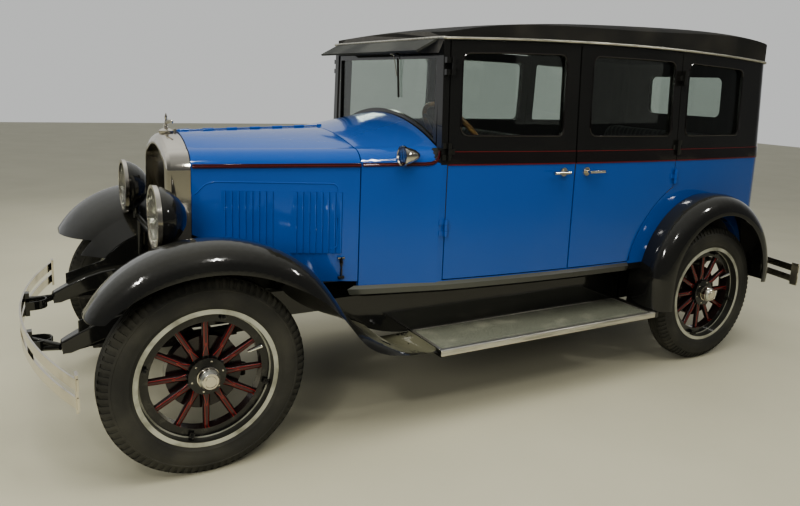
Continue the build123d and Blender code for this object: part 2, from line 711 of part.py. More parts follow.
# Running gear
def wheel(sign):
    """A wooden spoked wheel about the Y axis, centre plane at y = 0, outer face towards sign."""
    felloe_out = BEAD_R - RIM_T
    felloe_in = felloe_out - FELLOE_DEPTH
    lip = BEAD_HALF_W + (RIM_LIP_R - BEAD_R) * WALL_FLARE
    rim = Polyline((BEAD_R, -BEAD_HALF_W), (RIM_LIP_R, -lip), (RIM_LIP_R, -lip - RIM_LIP_T),
                   (felloe_out, -lip - RIM_LIP_T), (felloe_out, lip + RIM_LIP_T),
                   (RIM_LIP_R, lip + RIM_LIP_T), (RIM_LIP_R, lip), (BEAD_R, BEAD_HALF_W), close=True)
    out = revolve(make_face(rim), axis=Axis.Y)
    ring = Polyline((felloe_in, -FELLOE_HALF_W), (felloe_out + 1, -FELLOE_HALF_W), (felloe_out + 1, FELLOE_HALF_W), (felloe_in, FELLOE_HALF_W), close=True)
    out += revolve(make_face(ring), axis=Axis.Y)
    length = felloe_in + 6 - HUB_R + 4
    for i in range(SPOKES):
        spoke = Pos(0, 0, HUB_R - 4 + length / 2) * Cone(SPOKE_ROOT_R, SPOKE_TIP_R, length)
        out += Rot(0, 360 * i / SPOKES, 0) * spoke
    # cap, front flange, barrel and drum, radius and place along the axle, outward first
    hub_pts = [(0, HUB_CAP_OUT), (HUB_CAP_R - 8, HUB_CAP_OUT), (HUB_CAP_R, HUB_CAP_OUT - 10), (HUB_CAP_R, 40), (HUB_FLANGE_R, 34),
               (HUB_FLANGE_R, 34 - HUB_FLANGE_T), (HUB_R, 34 - HUB_FLANGE_T), (HUB_R, -19), (DRUM_R, -19), (DRUM_R, -26 - DRUM_W),
               (DRUM_R - DRUM_T, -26 - DRUM_W), (DRUM_R - DRUM_T, -26), (HUB_R, -26), (HUB_R, -60), (0, -60)]
    out += revolve(make_face(Polyline(*hub_pts, close=True)), axis=Axis.Y)
    bore = SPINDLE_R + SPINDLE_FIT
    out -= rod_y(0, -80, 60, 0, bore)
    return out if sign > 0 else flip(out)


# radius, half width there: bead, wall's widest ring, shoulder, tread edge
TYRE_ROWS = [(BEAD_R, BEAD_HALF_W), (TYRE_WIDE_R, TYRE_HALF_W), (TYRE_R - 14, TYRE_HALF_W - 20), (TYRE_R, TYRE_HALF_W - 36)]


def tyre():
    """A tall narrow tyre about the Y axis: beads on the rim, bulged walls, flat tread."""
    one_side = [(r, half) for r, half in TYRE_ROWS]
    other_side = [(r, -half) for r, half in reversed(TYRE_ROWS)]
    return revolve(make_face(Polyline(*one_side, *other_side, close=True)), axis=Axis.Y)


one_wheel = wheel(1)
one_tyre = tyre()
for end, x in (("front", FRONT_X), ("rear", REAR_X)):
    for side, s in (("left", 1), ("right", -1)):
        w = one_wheel if s > 0 else flip(one_wheel)
        save(f"wheel_{end}_{side}", Pos(x, s * TRACK / 2, TYRE_R) * w)
        save(f"tyre_{end}_{side}", Pos(x, s * TRACK / 2, TYRE_R) * one_tyre)

# Spare on the back, its outer face towards the rear, on a stub that fills its hub
spare_place = Pos(SPARE_X, 0, SPARE_Z) * Rot(0, 0, 90)
stub = rod_y(0, -66, 58, 0, SPINDLE_R + SPINDLE_FIT)
save("spare_wheel", spare_place * (one_wheel + stub))
save("spare_tyre", spare_place * one_tyre)

# Knuckle: king pin barrel, spindle, backing plate and steering arm
yk = KINGPIN_Y
drum_in = TRACK / 2 - 26 - DRUM_W
BOSS_H = 52.0
EYE_H = 30.0
knuckle = rod_y(FRONT_X, yk, TRACK / 2 + 54, TYRE_R, SPINDLE_R)
knuckle += rod_y(FRONT_X, yk + 30, drum_in - 8, TYRE_R, 34)
knuckle += rod_y(FRONT_X, drum_in - 2 - PLATE_T - 3, drum_in - 5, TYRE_R, DRUM_R - 4)
yoke = block(FRONT_X - 26, FRONT_X + 26, yk - 26, yk + 40, TYRE_R - 74, TYRE_R + 74)
yoke -= block(FRONT_X - 60, FRONT_X + 60, yk - 60, yk + 30, TYRE_R - 40, TYRE_R + 40)
knuckle += yoke
knuckle -= rod_y(FRONT_X, yk - 200, yk + 30, TYRE_R, SPINDLE_R + 1)
knuckle += rod_z(FRONT_X, yk, TYRE_R - 74, TYRE_R + 74, KINGPIN_R)
TIE_X = FRONT_X - 190.0
TIE_Y = yk - 46.0
TIE_Z = TYRE_R - 62.0
arm = rod((FRONT_X - 10, yk + 5, TIE_Z), (TIE_X, TIE_Y, TIE_Z), 11)
arm += rod_z(TIE_X, TIE_Y, TIE_Z - 12, TIE_Z + 12, 17)
knuckle += arm
knuckle -= rod_z(TIE_X, TIE_Y, TIE_Z - 30, TIE_Z + 30, 8 + KINGPIN_FIT)
save("knuckle_left", knuckle)
save("knuckle_right", flip(knuckle))

# Tie rod behind the axle, under the arms
tie = rod((TIE_X, -TIE_Y + 0.0, TIE_Z - 26), (TIE_X, TIE_Y, TIE_Z - 26), 11)
tie += rod_z(TIE_X, TIE_Y, TIE_Z - 38, TIE_Z - 13, 16)
tie += rod_z(TIE_X, TIE_Y, TIE_Z - 30, TIE_Z + 16, 8)
tie += rod_z(TIE_X, -TIE_Y, TIE_Z - 38, TIE_Z - 20, 16)
save("tie_rod", tie)

# Front axle: a dropped I-beam with an eye at each end
beam_low = TYRE_R - AXLE_DROP
half_beam = [(0, beam_low), (430, beam_low), (yk - 22, TYRE_R - 22), (yk, TYRE_R - 22), (yk, TYRE_R + 22), (yk - 40, TYRE_R + 22), (410, beam_low + AXLE_BEAM_H), (0, beam_low + AXLE_BEAM_H)]
axle = along(p_yz(*half_beam), FRONT_X - AXLE_BEAM_W / 2, FRONT_X + AXLE_BEAM_W / 2)
for s in (1, -1):
    axle -= along(p_yz((0, beam_low + 12), (424, beam_low + 12), (yk - 50, TYRE_R - 10), (yk - 50, TYRE_R + 6), (408, beam_low + AXLE_BEAM_H - 12), (0, beam_low + AXLE_BEAM_H - 12)), FRONT_X + s * 7, FRONT_X + s * (AXLE_BEAM_W / 2 + 1))
axle += rod_z(FRONT_X, yk, TYRE_R - 34, TYRE_R + 34, 24)
axle -= rod_z(FRONT_X, yk, TYRE_R - 60, TYRE_R + 60, KINGPIN_R + KINGPIN_FIT)
axle = axle + flip(axle)
save("front_axle", axle)

# Rear axle: tube, round differential case, torque tube, backing plates and stub ends
rear_drum_in = TRACK / 2 - 26 - DRUM_W
ra = rod_y(REAR_X, -(rear_drum_in - 12), rear_drum_in - 12, TYRE_R, REAR_TUBE_R)
ra += Pos(REAR_X, 0, TYRE_R) * Sphere(DIFF_R)
ra += rod((REAR_X + 60, 0, TYRE_R), (560, 0, 490), 38)
for s in (1, -1):
    ra += rod_y(REAR_X, s * (rear_drum_in - 10), s * (rear_drum_in - 5), TYRE_R, DRUM_R - 4)
    ra += rod_y(REAR_X, s * (rear_drum_in - 20), s * (TRACK / 2 + 54), TYRE_R, SPINDLE_R)
save("rear_axle", ra)

# Frame and springs
rail_profile = [
    Line((RAIL_REAR_X, 0, RAIL_BOTTOM + 20), (RAIL_REAR_X, 0, RAIL_TOP)),
    Line((RAIL_REAR_X, 0, RAIL_TOP), (1500, 0, RAIL_TOP)),
    Line((1500, 0, RAIL_TOP), (1760, 0, RAIL_TOP - 45)),
    Line((1760, 0, RAIL_TOP - 45), (HORN_X, 0, HORN_Z + 24)),
    Line((HORN_X, 0, HORN_Z + 24), (HORN_X, 0, HORN_Z - 24)),
    Line((HORN_X, 0, HORN_Z - 24), (1700, 0, RAIL_BOTTOM + 6)),
    Line((1700, 0, RAIL_BOTTOM + 6), (1500, 0, RAIL_BOTTOM)),
    Line((1500, 0, RAIL_BOTTOM), (-1700, 0, RAIL_BOTTOM)),
    Line((-1700, 0, RAIL_BOTTOM), (RAIL_REAR_X, 0, RAIL_BOTTOM + 20)),
]
rail = across(rail_profile, RAIL_Y - RAIL_W / 2, RAIL_Y + RAIL_W / 2)
pocket = across(p_xz((RAIL_REAR_X - 1, RAIL_BOTTOM + 26), (RAIL_REAR_X - 1, RAIL_TOP - RAIL_WALL), (1490, RAIL_TOP - RAIL_WALL), (1640, RAIL_TOP - 34), (1640, RAIL_BOTTOM + 14), (1490, RAIL_BOTTOM + RAIL_WALL), (-1690, RAIL_BOTTOM + RAIL_WALL)), RAIL_Y - RAIL_W / 2 - 1, RAIL_Y + RAIL_W / 2 - RAIL_WALL)
rail -= pocket
frame = rail + flip(rail)
# x, height, depth of each cross member
CROSS_ROWS = [(1640.0, 60.0, 50.0), (510.0, 50.0, 60.0), (-350.0, 90.0, 60.0), (-1150.0, 80.0, 60.0), (-2040.0, 60.0, 60.0)]
yi = RAIL_Y + RAIL_W / 2 - RAIL_WALL + 0.5
for x, h, d in CROSS_ROWS:
    frame += block(x - d / 2, x + d / 2, -yi, yi, RAIL_TOP - h - 4, RAIL_TOP - 4)
# x of each running board iron
IRON_ROWS = [330.0, -280.0, -860.0]
for x in IRON_ROWS:
    for s in (1, -1):
        iron = block(x - 20, x + 20, s * (RAIL_Y + 10), s * (BOARD_OUT - 40), BOARD_TOP - BOARD_T - 16, BOARD_TOP - BOARD_T)
        leg = block(x - 20, x + 20, s * (RAIL_Y + RAIL_W / 2 - 2), s * (RAIL_Y + RAIL_W / 2 + 12), BOARD_TOP - BOARD_T - 16, RAIL_TOP - 30)
        frame += iron + leg
save("chassis_frame", frame)


def leaf_spring(x_mid, half, z_mid, z_end, leaves):
    """Leaves in a stack, each shorter than the one above."""
    out = None
    for i in range(leaves):
        k = half * (1 - 0.17 * i)
        drop = -i * LEAF_T
        rise = (z_end - z_mid) * (k / half) ** 2
        top = [
            ThreePointArc((x_mid - k, 0, z_mid + rise + drop), (x_mid, 0, z_mid + drop), (x_mid + k, 0, z_mid + rise + drop)),
            Line((x_mid + k, 0, z_mid + rise + drop), (x_mid + k, 0, z_mid + rise + drop - LEAF_T)),
            ThreePointArc((x_mid + k, 0, z_mid + rise + drop - LEAF_T), (x_mid, 0, z_mid + drop - LEAF_T), (x_mid - k, 0, z_mid + rise + drop - LEAF_T)),
            Line((x_mid - k, 0, z_mid + rise + drop - LEAF_T), (x_mid - k, 0, z_mid + rise + drop)),
        ]
        leaf = across(top, RAIL_Y - SPRING_W / 2, RAIL_Y + SPRING_W / 2)
        out = leaf if out is None else out + leaf
    return out


FS_TOP = beam_low + AXLE_BEAM_H + 5 * LEAF_T
fs = leaf_spring(FRONT_X, 450, FS_TOP, RAIL_BOTTOM - 6, 5)
fs += block(FRONT_X - 34, FRONT_X + 34, RAIL_Y - 34, RAIL_Y + 34, beam_low + AXLE_BEAM_H, FS_TOP + 8)
for x in (FRONT_X - 436, FRONT_X + 436):
    fs += block(x - 14, x + 14, RAIL_Y - 20, RAIL_Y + 20, RAIL_BOTTOM - 14, RAIL_BOTTOM + 3)
RS_TOP = TYRE_R + REAR_TUBE_R + 6
rs = leaf_spring(REAR_X, 560, RS_TOP - 6, RAIL_BOTTOM - 6, 6)
rs -= rod_y(REAR_X, 100, 500, TYRE_R, REAR_TUBE_R)
rs += block(REAR_X - 40, REAR_X + 40, RAIL_Y - 34, RAIL_Y + 34, TYRE_R, RS_TOP) - rod_y(REAR_X, 100, 500, TYRE_R, REAR_TUBE_R)
for x in (REAR_X - 546, REAR_X + 546):
    rs += block(x - 14, x + 14, RAIL_Y - 20, RAIL_Y + 20, RAIL_BOTTOM - 14, RAIL_BOTTOM + 3)
fs -= frame
rs -= frame
fs = max(fs.solids(), key=lambda k: k.volume)
rs = max(rs.solids(), key=lambda k: k.volume)
save("leaf_springs", fs, flip(fs), rs, flip(rs))

# Engine with gearbox: one plain stepped block
engine = block(820, 1380, -150, 150, 600, 985) + block(820, 1330, -170, 170, 420, 620) + block(560, 830, -130, 130, 430, 640)
engine -= frame
engine -= ra
engine -= floor
save("engine", engine)

# Fuel tank between the rails at the back
tank = block(RAIL_REAR_X + 15, RAIL_REAR_X + 225, -300, 300, 400, 560)
tank = fillet(tank.edges().filter_by(Axis.Y), 40)
for s in (1, -1):
    tank += block(RAIL_REAR_X + 95, RAIL_REAR_X + 145, s * 200, s * 240, 540, RAIL_TOP)
tank -= frame
save("fuel_tank", tank)

# Fenders and boards
def fender_section(reach_in, drop_in, reach_out, drop_out):
    """A thin domed section: across the car from the crown line, and inward from the top line."""
    t = FENDER_T
    return [
        ThreePointArc((-reach_in, drop_in), (-reach_in * 0.5, drop_in * 0.22), (0, 0)),
        ThreePointArc((0, 0), (reach_out * 0.7, drop_out * 0.26), (reach_out, drop_out)),
        Line((reach_out, drop_out), (reach_out - t, drop_out)),
        ThreePointArc((reach_out - t, drop_out), (reach_out * 0.7 - t * 0.7, drop_out * 0.26 + t * 0.7), (0, t)),
        ThreePointArc((0, t), (-reach_in * 0.5, drop_in * 0.22 + t), (-reach_in, drop_in + t)),
        Line((-reach_in, drop_in + t), (-reach_in, drop_in)),
    ]


# degrees round the wheel arch from the front, radius of the crown there, outer reach and drop
FENDER_ARCH_ROWS = [
    (27.0, FRONT_ARCH_R + 4, 98.0, 40.0),
    (38.0, FRONT_ARCH_R + 10, 106.0, 60.0),
    (55.0, FRONT_ARCH_R + 16, FENDER_REACH_OUT, 92.0),
    (72.0, FRONT_ARCH_R + 9, FENDER_REACH_OUT, 108.0),
    (90.0, FRONT_ARCH_R, FENDER_REACH_OUT, 112.0),
    (120.0, FRONT_ARCH_R, FENDER_REACH_OUT, 104.0),
    (137.0, FRONT_ARCH_R, 106.0, 76.0),
    (90.0 + FENDER_SWEEP, FRONT_ARCH_R, 100.0, 38.0),
]
# degrees short of the flat end, inner reach and drop, outer reach and drop
FENDER_TAIL_ROWS = [
    (44.0, 236.0, 34.0, 92.0, 28.0),
    (22.0, FENDER_Y - BOARD_IN, 8.0, 80.0, 26.0),
    (0.0, FENDER_Y - BOARD_IN, 2.0, BOARD_OUT - FENDER_Y, BOARD_T - 2),
]


def fender_face(x, z, lean, values):
    """A section square to the crown line, which runs up and back at lean from the ground."""
    place = Plane(origin=(x, FENDER_Y, z), x_dir=(0, 1, 0), z_dir=(-sin(lean), 0, cos(lean)))
    return place * make_face(fender_section(*values))


fender_faces = []
for angle, r, reach_out, drop_out in FENDER_ARCH_ROWS:
    a = radians(angle)
    x, z = FRONT_ARCH_X + r * cos(a), FRONT_ARCH_Z + r * sin(a)
    fender_faces.append(fender_face(x, z, a, (FENDER_REACH_IN, r - FENDER_INNER_R, reach_out, drop_out)))
sweep_a = radians(FENDER_SWEEP)
inflex_x = FRONT_ARCH_X - FRONT_ARCH_R * sin(sweep_a)
inflex_z = FRONT_ARCH_Z + FRONT_ARCH_R * cos(sweep_a)
TAIL_R = (inflex_z - BOARD_TOP) / (1 - cos(sweep_a))
BOARD_FRONT_X = inflex_x - TAIL_R * sin(sweep_a)
TAIL_Z = BOARD_TOP + TAIL_R
for angle, reach_in, drop_in, reach_out, drop_out in FENDER_TAIL_ROWS:
    a = radians(angle)
    x, z = BOARD_FRONT_X + TAIL_R * sin(a), TAIL_Z - TAIL_R * cos(a)
    fender_faces.append(fender_face(x, z, pi / 2 + a, (reach_in, drop_in, reach_out, drop_out)))
ff = loft(fender_faces, ruled=False)

# the front edge is cut level, with round corners in plan
NOSE_X = FRONT_ARCH_X + FRONT_ARCH_R - 86
NOSE_CORNER_R = 84.0
NOSE_CUT_X = FRONT_ARCH_X + 170
nose_in = FENDER_Y - FENDER_REACH_IN - 2
nose_out = FENDER_Y + FENDER_REACH_OUT + 2
nose = block(NOSE_CUT_X, NOSE_X, nose_in, nose_out, FENDER_NOSE_Z, 1200)
nose = fillet(nose.edges().filter_by(Axis.Z).sort_by(Axis.X)[-2:], NOSE_CORNER_R)
ff -= block(NOSE_CUT_X, NOSE_X + 200, 300, 1000, 300, 1200) - nose

# inner skirt: a cone from the fender's inner edge in to the rail, and a flat plate down to it
RAIL_OUT = RAIL_Y + RAIL_W / 2
SKIRT_IN_R = FENDER_INNER_R - 84.0
skirt_y = FENDER_Y - FENDER_REACH_IN
cone_lines = Polyline((SKIRT_IN_R, RAIL_OUT), (FENDER_INNER_R, skirt_y), (FENDER_INNER_R, skirt_y + APRON_T),
                      (SKIRT_IN_R - APRON_T, RAIL_OUT + APRON_T), (SKIRT_IN_R - APRON_T, RAIL_OUT), close=True)
cone = Pos(FRONT_ARCH_X, 0, FRONT_ARCH_Z) * revolve(make_face(cone_lines), axis=Axis.Y)
SKIRT_LOW = RAIL_TOP - 24
SKIRT_REAR_X = FRONT_ARCH_X - 326
SKIRT_FRONT_X = HORN_X - 60
cone &= block(SKIRT_REAR_X - 40, NOSE_X - 6, 300, 600, SKIRT_LOW + 60, 1000)
plate = across([
    ThreePointArc((SKIRT_REAR_X, 0, SKIRT_LOW + 60), (FRONT_ARCH_X, 0, FRONT_ARCH_Z + SKIRT_IN_R), (FRONT_ARCH_X + 280, 0, FRONT_ARCH_Z + 216)),
    Line((FRONT_ARCH_X + 280, 0, FRONT_ARCH_Z + 216), (SKIRT_FRONT_X, 0, HORN_Z + 110)),
    Line((SKIRT_FRONT_X, 0, HORN_Z + 110), (SKIRT_FRONT_X, 0, HORN_Z)),
    Line((SKIRT_FRONT_X, 0, HORN_Z), (FRONT_ARCH_X + 60, 0, SKIRT_LOW - 40)),
    Line((FRONT_ARCH_X + 60, 0, SKIRT_LOW - 40), (SKIRT_REAR_X, 0, SKIRT_LOW - 40)),
    Line((SKIRT_REAR_X, 0, SKIRT_LOW - 40), (SKIRT_REAR_X, 0, SKIRT_LOW + 60)),
], RAIL_OUT, RAIL_OUT + APRON_T)
ff += cone
ff += plate
save("front_fenders", ff, flip(ff))

# Rear fender: an even section, upright from the board and then round the wheel
REAR_REACH_IN = 150.0
REAR_DROP_IN = 26.0
REAR_REACH_OUT = 100.0
REAR_DROP_OUT = 112.0
REAR_TAIL_A = 186.0
foot_x = REAR_ARCH_X + REAR_ARCH_R
foot_line = Line((foot_x, FENDER_Y, BOARD_TOP), (foot_x, FENDER_Y, REAR_ARCH_Z))
tail_a = radians(REAR_TAIL_A)
crown_line = ThreePointArc(
    (foot_x, FENDER_Y, REAR_ARCH_Z), (REAR_ARCH_X, FENDER_Y, REAR_ARCH_Z + REAR_ARCH_R),
    (REAR_ARCH_X + REAR_ARCH_R * cos(tail_a), FENDER_Y, REAR_ARCH_Z + REAR_ARCH_R * sin(tail_a)))
start = Plane(origin=(foot_x, FENDER_Y, BOARD_TOP), x_dir=(0, 1, 0), z_dir=(0, 0, 1))
rear_section = fender_section(REAR_REACH_IN, REAR_DROP_IN, REAR_REACH_OUT, REAR_DROP_OUT)
rf = sweep(start * make_face(rear_section), path=Wire([foot_line.edge(), crown_line.edge()]))
rf -= body_block(0, z0=FLOOR_Z - FLOOR_T)
save("rear_fenders", rf, flip(rf))

# the board's rear end follows the fender's foot
behind_foot = make_face([
    Line((foot_x - 200, 400, 0), (foot_x - REAR_DROP_IN, 400, 0)),
    Line((foot_x - REAR_DROP_IN, 400, 0), (foot_x - REAR_DROP_IN, FENDER_Y - REAR_REACH_IN, 0)),
    ThreePointArc((foot_x - REAR_DROP_IN, FENDER_Y - REAR_REACH_IN, 0),
                  (foot_x - REAR_DROP_IN * 0.22, FENDER_Y - REAR_REACH_IN * 0.5, 0), (foot_x, FENDER_Y, 0)),
    ThreePointArc((foot_x, FENDER_Y, 0), (foot_x - REAR_DROP_OUT * 0.26, FENDER_Y + REAR_REACH_OUT * 0.7, 0),
                  (foot_x - REAR_DROP_OUT, FENDER_Y + REAR_REACH_OUT, 0)),
    Line((foot_x - REAR_DROP_OUT, FENDER_Y + REAR_REACH_OUT, 0), (foot_x - 200, FENDER_Y + REAR_REACH_OUT, 0)),
    Line((foot_x - 200, FENDER_Y + REAR_REACH_OUT, 0), (foot_x - 200, 400, 0)),
])
board = block(BOARD_REAR_X, BOARD_FRONT_X, BOARD_IN, BOARD_OUT, BOARD_TOP - BOARD_T, BOARD_TOP)
board -= extrude(behind_foot, amount=BOARD_TOP + 10, dir=(0, 0, 1))
save("running_boards", board, flip(board))

# Splash aprons: a round sill that follows the body and the hood, and a plate down to the board
# height, how far the sill's outline stands in from the body's plan
SILL_ROWS = [(FLOOR_Z - 48, 6.0), (FLOOR_Z - 34, -12.0), (FLOOR_Z - 8, -16.0), (FLOOR_Z + 6, -4.0)]
SILL_FRONT_X = HOOD_KNEE_X + 10


apron_rear_x = foot_x - REAR_DROP_IN
apron_low = BOARD_TOP - BOARD_T


def sill_step(k):
    """One ruled step of the sill between two heights."""
    (z0, in0), (z1, in1) = SILL_ROWS[k], SILL_ROWS[k + 1]
    back = loft([plan_face(in0, z0, A_X), plan_face(in1, z1, A_X)], ruled=True)
    rows = []
    for z, inset in SILL_ROWS[k:k + 2]:
        y = [HALF_A - inset, HALF_DASH - inset, side_at(SILL_FRONT_X) - inset]
        x = [A_X, DASH_X, SILL_FRONT_X]
        left = [(x[n], y[n], z) for n in range(3)]
        right = [(x[n], -y[n], z) for n in (2, 1, 0)]
        rows.append(make_face(Polyline(*left, *right, close=True)))
    return back + loft(rows, ruled=True)


sill = sill_step(0) + sill_step(1) + sill_step(2)
sill &= block(apron_rear_x, SILL_FRONT_X, BOARD_IN - APRON_T, 900, FLOOR_Z - 60, FLOOR_Z + 20)
sill -= floor
sill -= body_in
sill -= cowl_block(0)
sill -= posts
sill -= rear_body
sill -= cowl
sill -= arch_cut
apron_side = across([
    Line((apron_rear_x, 0, apron_low), (BOARD_FRONT_X, 0, apron_low)),
    Line((BOARD_FRONT_X, 0, apron_low), (BOARD_FRONT_X, 0, BOARD_TOP)),
    ThreePointArc((BOARD_FRONT_X, 0, BOARD_TOP), (BOARD_FRONT_X + TAIL_R * sin(radians(17)), 0, TAIL_Z - TAIL_R * cos(radians(17))),
                  (BOARD_FRONT_X + TAIL_R * sin(radians(34)), 0, TAIL_Z - TAIL_R * cos(radians(34)))),
    Line((BOARD_FRONT_X + TAIL_R * sin(radians(34)), 0, TAIL_Z - TAIL_R * cos(radians(34))), (SILL_FRONT_X, 0, FLOOR_Z - 42)),
    Line((SILL_FRONT_X, 0, FLOOR_Z - 42), (apron_rear_x, 0, FLOOR_Z - 42)),
    Line((apron_rear_x, 0, FLOOR_Z - 42), (apron_rear_x, 0, apron_low)),
], BOARD_IN - APRON_T, BOARD_IN)
apron_side -= frame
apron_side -= rf
apron_side -= ff
apron_side += sill
save("splash_aprons", apron_side, flip(apron_side))

# Lamps
# share of the depth behind the rim, share of the rim's radius
BOWL_ROWS = [(0.0, 1.0), (0.22, 0.97), (0.48, 0.83), (0.72, 0.62), (0.91, 0.34), (1.0, 0.0)]
BOWL_T = 6.0
LAMP_RIM_W = 18.0
LAMP_RIM_FACE = 14.0


def lamp_bowl(r, deep):
    """Bowl turned about X, its open end at x = 0 and its body behind."""
    outer = [(-deep * k, (r - 6) * m) for k, m in BOWL_ROWS]
    inner = [(-(deep - BOWL_T) * k, (r - 6 - BOWL_T) * m) for k, m in reversed(BOWL_ROWS)]
    return revolve(make_face(Polyline(*outer, *inner, close=True)), axis=Axis.X)


def disc_x(x, r, t):
    """A round plate about X, from x forward."""
    return rod_x(x, x + t, 0, 0, r)


bowl = lamp_bowl(LAMP_R, LAMP_DEEP)
rim = disc_x(-8, LAMP_R, LAMP_RIM_W) - disc_x(-20, LAMP_R - LAMP_RIM_FACE, LAMP_RIM_W + 30) - bowl
lens = disc_x(-1, LAMP_R - LAMP_RIM_FACE, 6)
bowl -= lens
bowl += rod_z(-56, 0, -LAMP_R - 4, -LAMP_R + 34, 16)
lamps = [Pos(LAMP_X, s * LAMP_Y, LAMP_Z) * bowl for s in (1, -1)]
save("headlamp_bowls", *lamps)
save("headlamp_rims", *[Pos(LAMP_X, s * LAMP_Y, LAMP_Z) * rim for s in (1, -1)])
save("headlamp_lenses", *[Pos(LAMP_X, s * LAMP_Y, LAMP_Z) * lens for s in (1, -1)])

BAR_X = LAMP_X - 58
BAR_Z = LAMP_Z - LAMP_R - 18
bar = rod((BAR_X, -LAMP_Y - 8, BAR_Z), (BAR_X, LAMP_Y + 8, BAR_Z), 14)
for s in (1, -1):
    bar += rod_z(BAR_X, s * LAMP_Y, BAR_Z - 10, LAMP_Z - LAMP_R - 4, 20)
    bar += rod((BAR_X, s * 352, BAR_Z), (BAR_X, s * 352, RAIL_TOP - 30), 14)
bar -= frame
for l in lamps:
    bar -= l
bar -= ff
bar -= flip(ff)
save("lamp_bar", bar)

COWL_LAMP_DEEP = 92.0
cowl_lamp = lamp_bowl(COWL_LAMP_R, COWL_LAMP_DEEP) + disc_x(-8, COWL_LAMP_R, 12)
cowl_lamp += rod((-40, -8, -20), (-40, -90, -50), 9)
cowl_lamp = Pos(COWL_LAMP_X, COWL_LAMP_Y, COWL_LAMP_Z) * cowl_lamp - cowl_block(0)
save("cowl_lamps", cowl_lamp, flip(cowl_lamp))

TAIL_Y = 520.0
tail_x = -2235.0
tail = rod_x(tail_x, tail_x + 60, TAIL_Y, 590, 42) + rod((tail_x + 50, TAIL_Y, 590), (RAIL_REAR_X + 20, 366, 520), 10)
tail -= frame
save("tail_lamp", tail)


# Bumpers
def bumper(x_mid, x_end, sign):
    """Two long spring bars on end plates, with two clamps and arms back to the frame."""
    out = None
    for k in (-0.5, 0.5):
        z = BUMPER_Z + k * BUMPER_PITCH
        t = BUMPER_BAR_T / 2
        edges = [
            ThreePointArc((x_end + sign * t, -BUMPER_HALF, z), (x_mid + sign * t, 0, z), (x_end + sign * t, BUMPER_HALF, z)),
            Line((x_end + sign * t, BUMPER_HALF, z), (x_end - sign * t, BUMPER_HALF, z)),
            ThreePointArc((x_end - sign * t, BUMPER_HALF, z), (x_mid - sign * t, 0, z), (x_end - sign * t, -BUMPER_HALF, z)),
            Line((x_end - sign * t, -BUMPER_HALF, z), (x_end + sign * t, -BUMPER_HALF, z)),
        ]
        bar = extrude(Pos(0, 0, -BUMPER_BAR_H / 2) * make_face(edges), amount=BUMPER_BAR_H, dir=(0, 0, 1))
        out = bar if out is None else out + bar
    return out


CLAMP_Y = 276.0
front_bumper = bumper(BUMPER_X, BUMPER_END_X, 1)
drop = (BUMPER_X - BUMPER_END_X) * (CLAMP_Y / BUMPER_HALF) ** 2
xc = BUMPER_X - drop
for s in (1, -1):
    front_bumper += block(xc - 22, xc - 3, s * (CLAMP_Y - 18), s * (CLAMP_Y + 18), BUMPER_Z - 56, BUMPER_Z + 56)
    front_bumper += rod((xc - 12, s * CLAMP_Y, BUMPER_Z - 20), (HORN_X + 6, s * RAIL_Y, HORN_Z), 13)
    front_bumper += rod((xc - 12, s * CLAMP_Y, BUMPER_Z + 20), (HORN_X + 6, s * RAIL_Y, HORN_Z + 6), 11)
    front_bumper += block(BUMPER_END_X - 2, BUMPER_END_X + 8, s * (BUMPER_HALF - 46), s * (BUMPER_HALF - 4), BUMPER_Z - 70, BUMPER_Z + 70)
front_bumper -= frame
save("front_bumper", front_bumper)

rear_end_x = REAR_BUMPER_X + 120
rear_bumper = bumper(REAR_BUMPER_X, rear_end_x, -1)
xr_c = REAR_BUMPER_X + 120 * (CLAMP_Y / BUMPER_HALF) ** 2
for s in (1, -1):
    rear_bumper += block(xr_c + 3, xr_c + 22, s * (RAIL_Y - 18), s * (RAIL_Y + 18), BUMPER_Z - 56, BUMPER_Z + 56)
    rear_bumper += rod((xr_c + 14, s * RAIL_Y, BUMPER_Z + 10), (RAIL_REAR_X - 2, s * RAIL_Y, RAIL_TOP - 50), 14)
    rear_bumper += block(rear_end_x - 8, rear_end_x + 2, s * (BUMPER_HALF - 46), s * (BUMPER_HALF - 4), BUMPER_Z - 70, BUMPER_Z + 70)
rear_bumper -= frame
save("rear_bumper", rear_bumper)

# Inside
def cushion(x0, x1, y0, y1, z0, z1, r):
    b = block(x0, x1, y0, y1, z0, z1)
    return fillet(b.edges(), r)


SEAT_GAP = 30.0
SEAT_Z = FLOOR_Z + 175
SEAT_EDGE_R = 40.0
BACK_GAP = 14.0
seat_half = HALF_A - WALL - SEAT_GAP
# cushion front, cushion rear, back rest rear, top of the back rest
SEAT_ROWS = [(130.0, -330.0, -470.0, 1340.0), (REAR_X + 170, REAR_X - 330, REAR_X - 480, 1350.0)]
CUSHION_H = 165.0
seats = []
bases = []
for x_front, x_rear, x_back, z_top in SEAT_ROWS:
    base_cushion = cushion(x_rear, x_front, -seat_half, seat_half, SEAT_Z, SEAT_Z + CUSHION_H, SEAT_EDGE_R)
    back_rest = cushion(x_back, x_rear - BACK_GAP, -seat_half, seat_half, SEAT_Z, z_top, SEAT_EDGE_R)
    seats.append((base_cushion, back_rest))
    bases.append(block(x_back, x_front - 20, -seat_half + 10, seat_half - 10, FLOOR_Z, SEAT_Z))
save("front_seat", *seats[0])
save("rear_seat", *seats[1])
save("seat_bases", *bases)

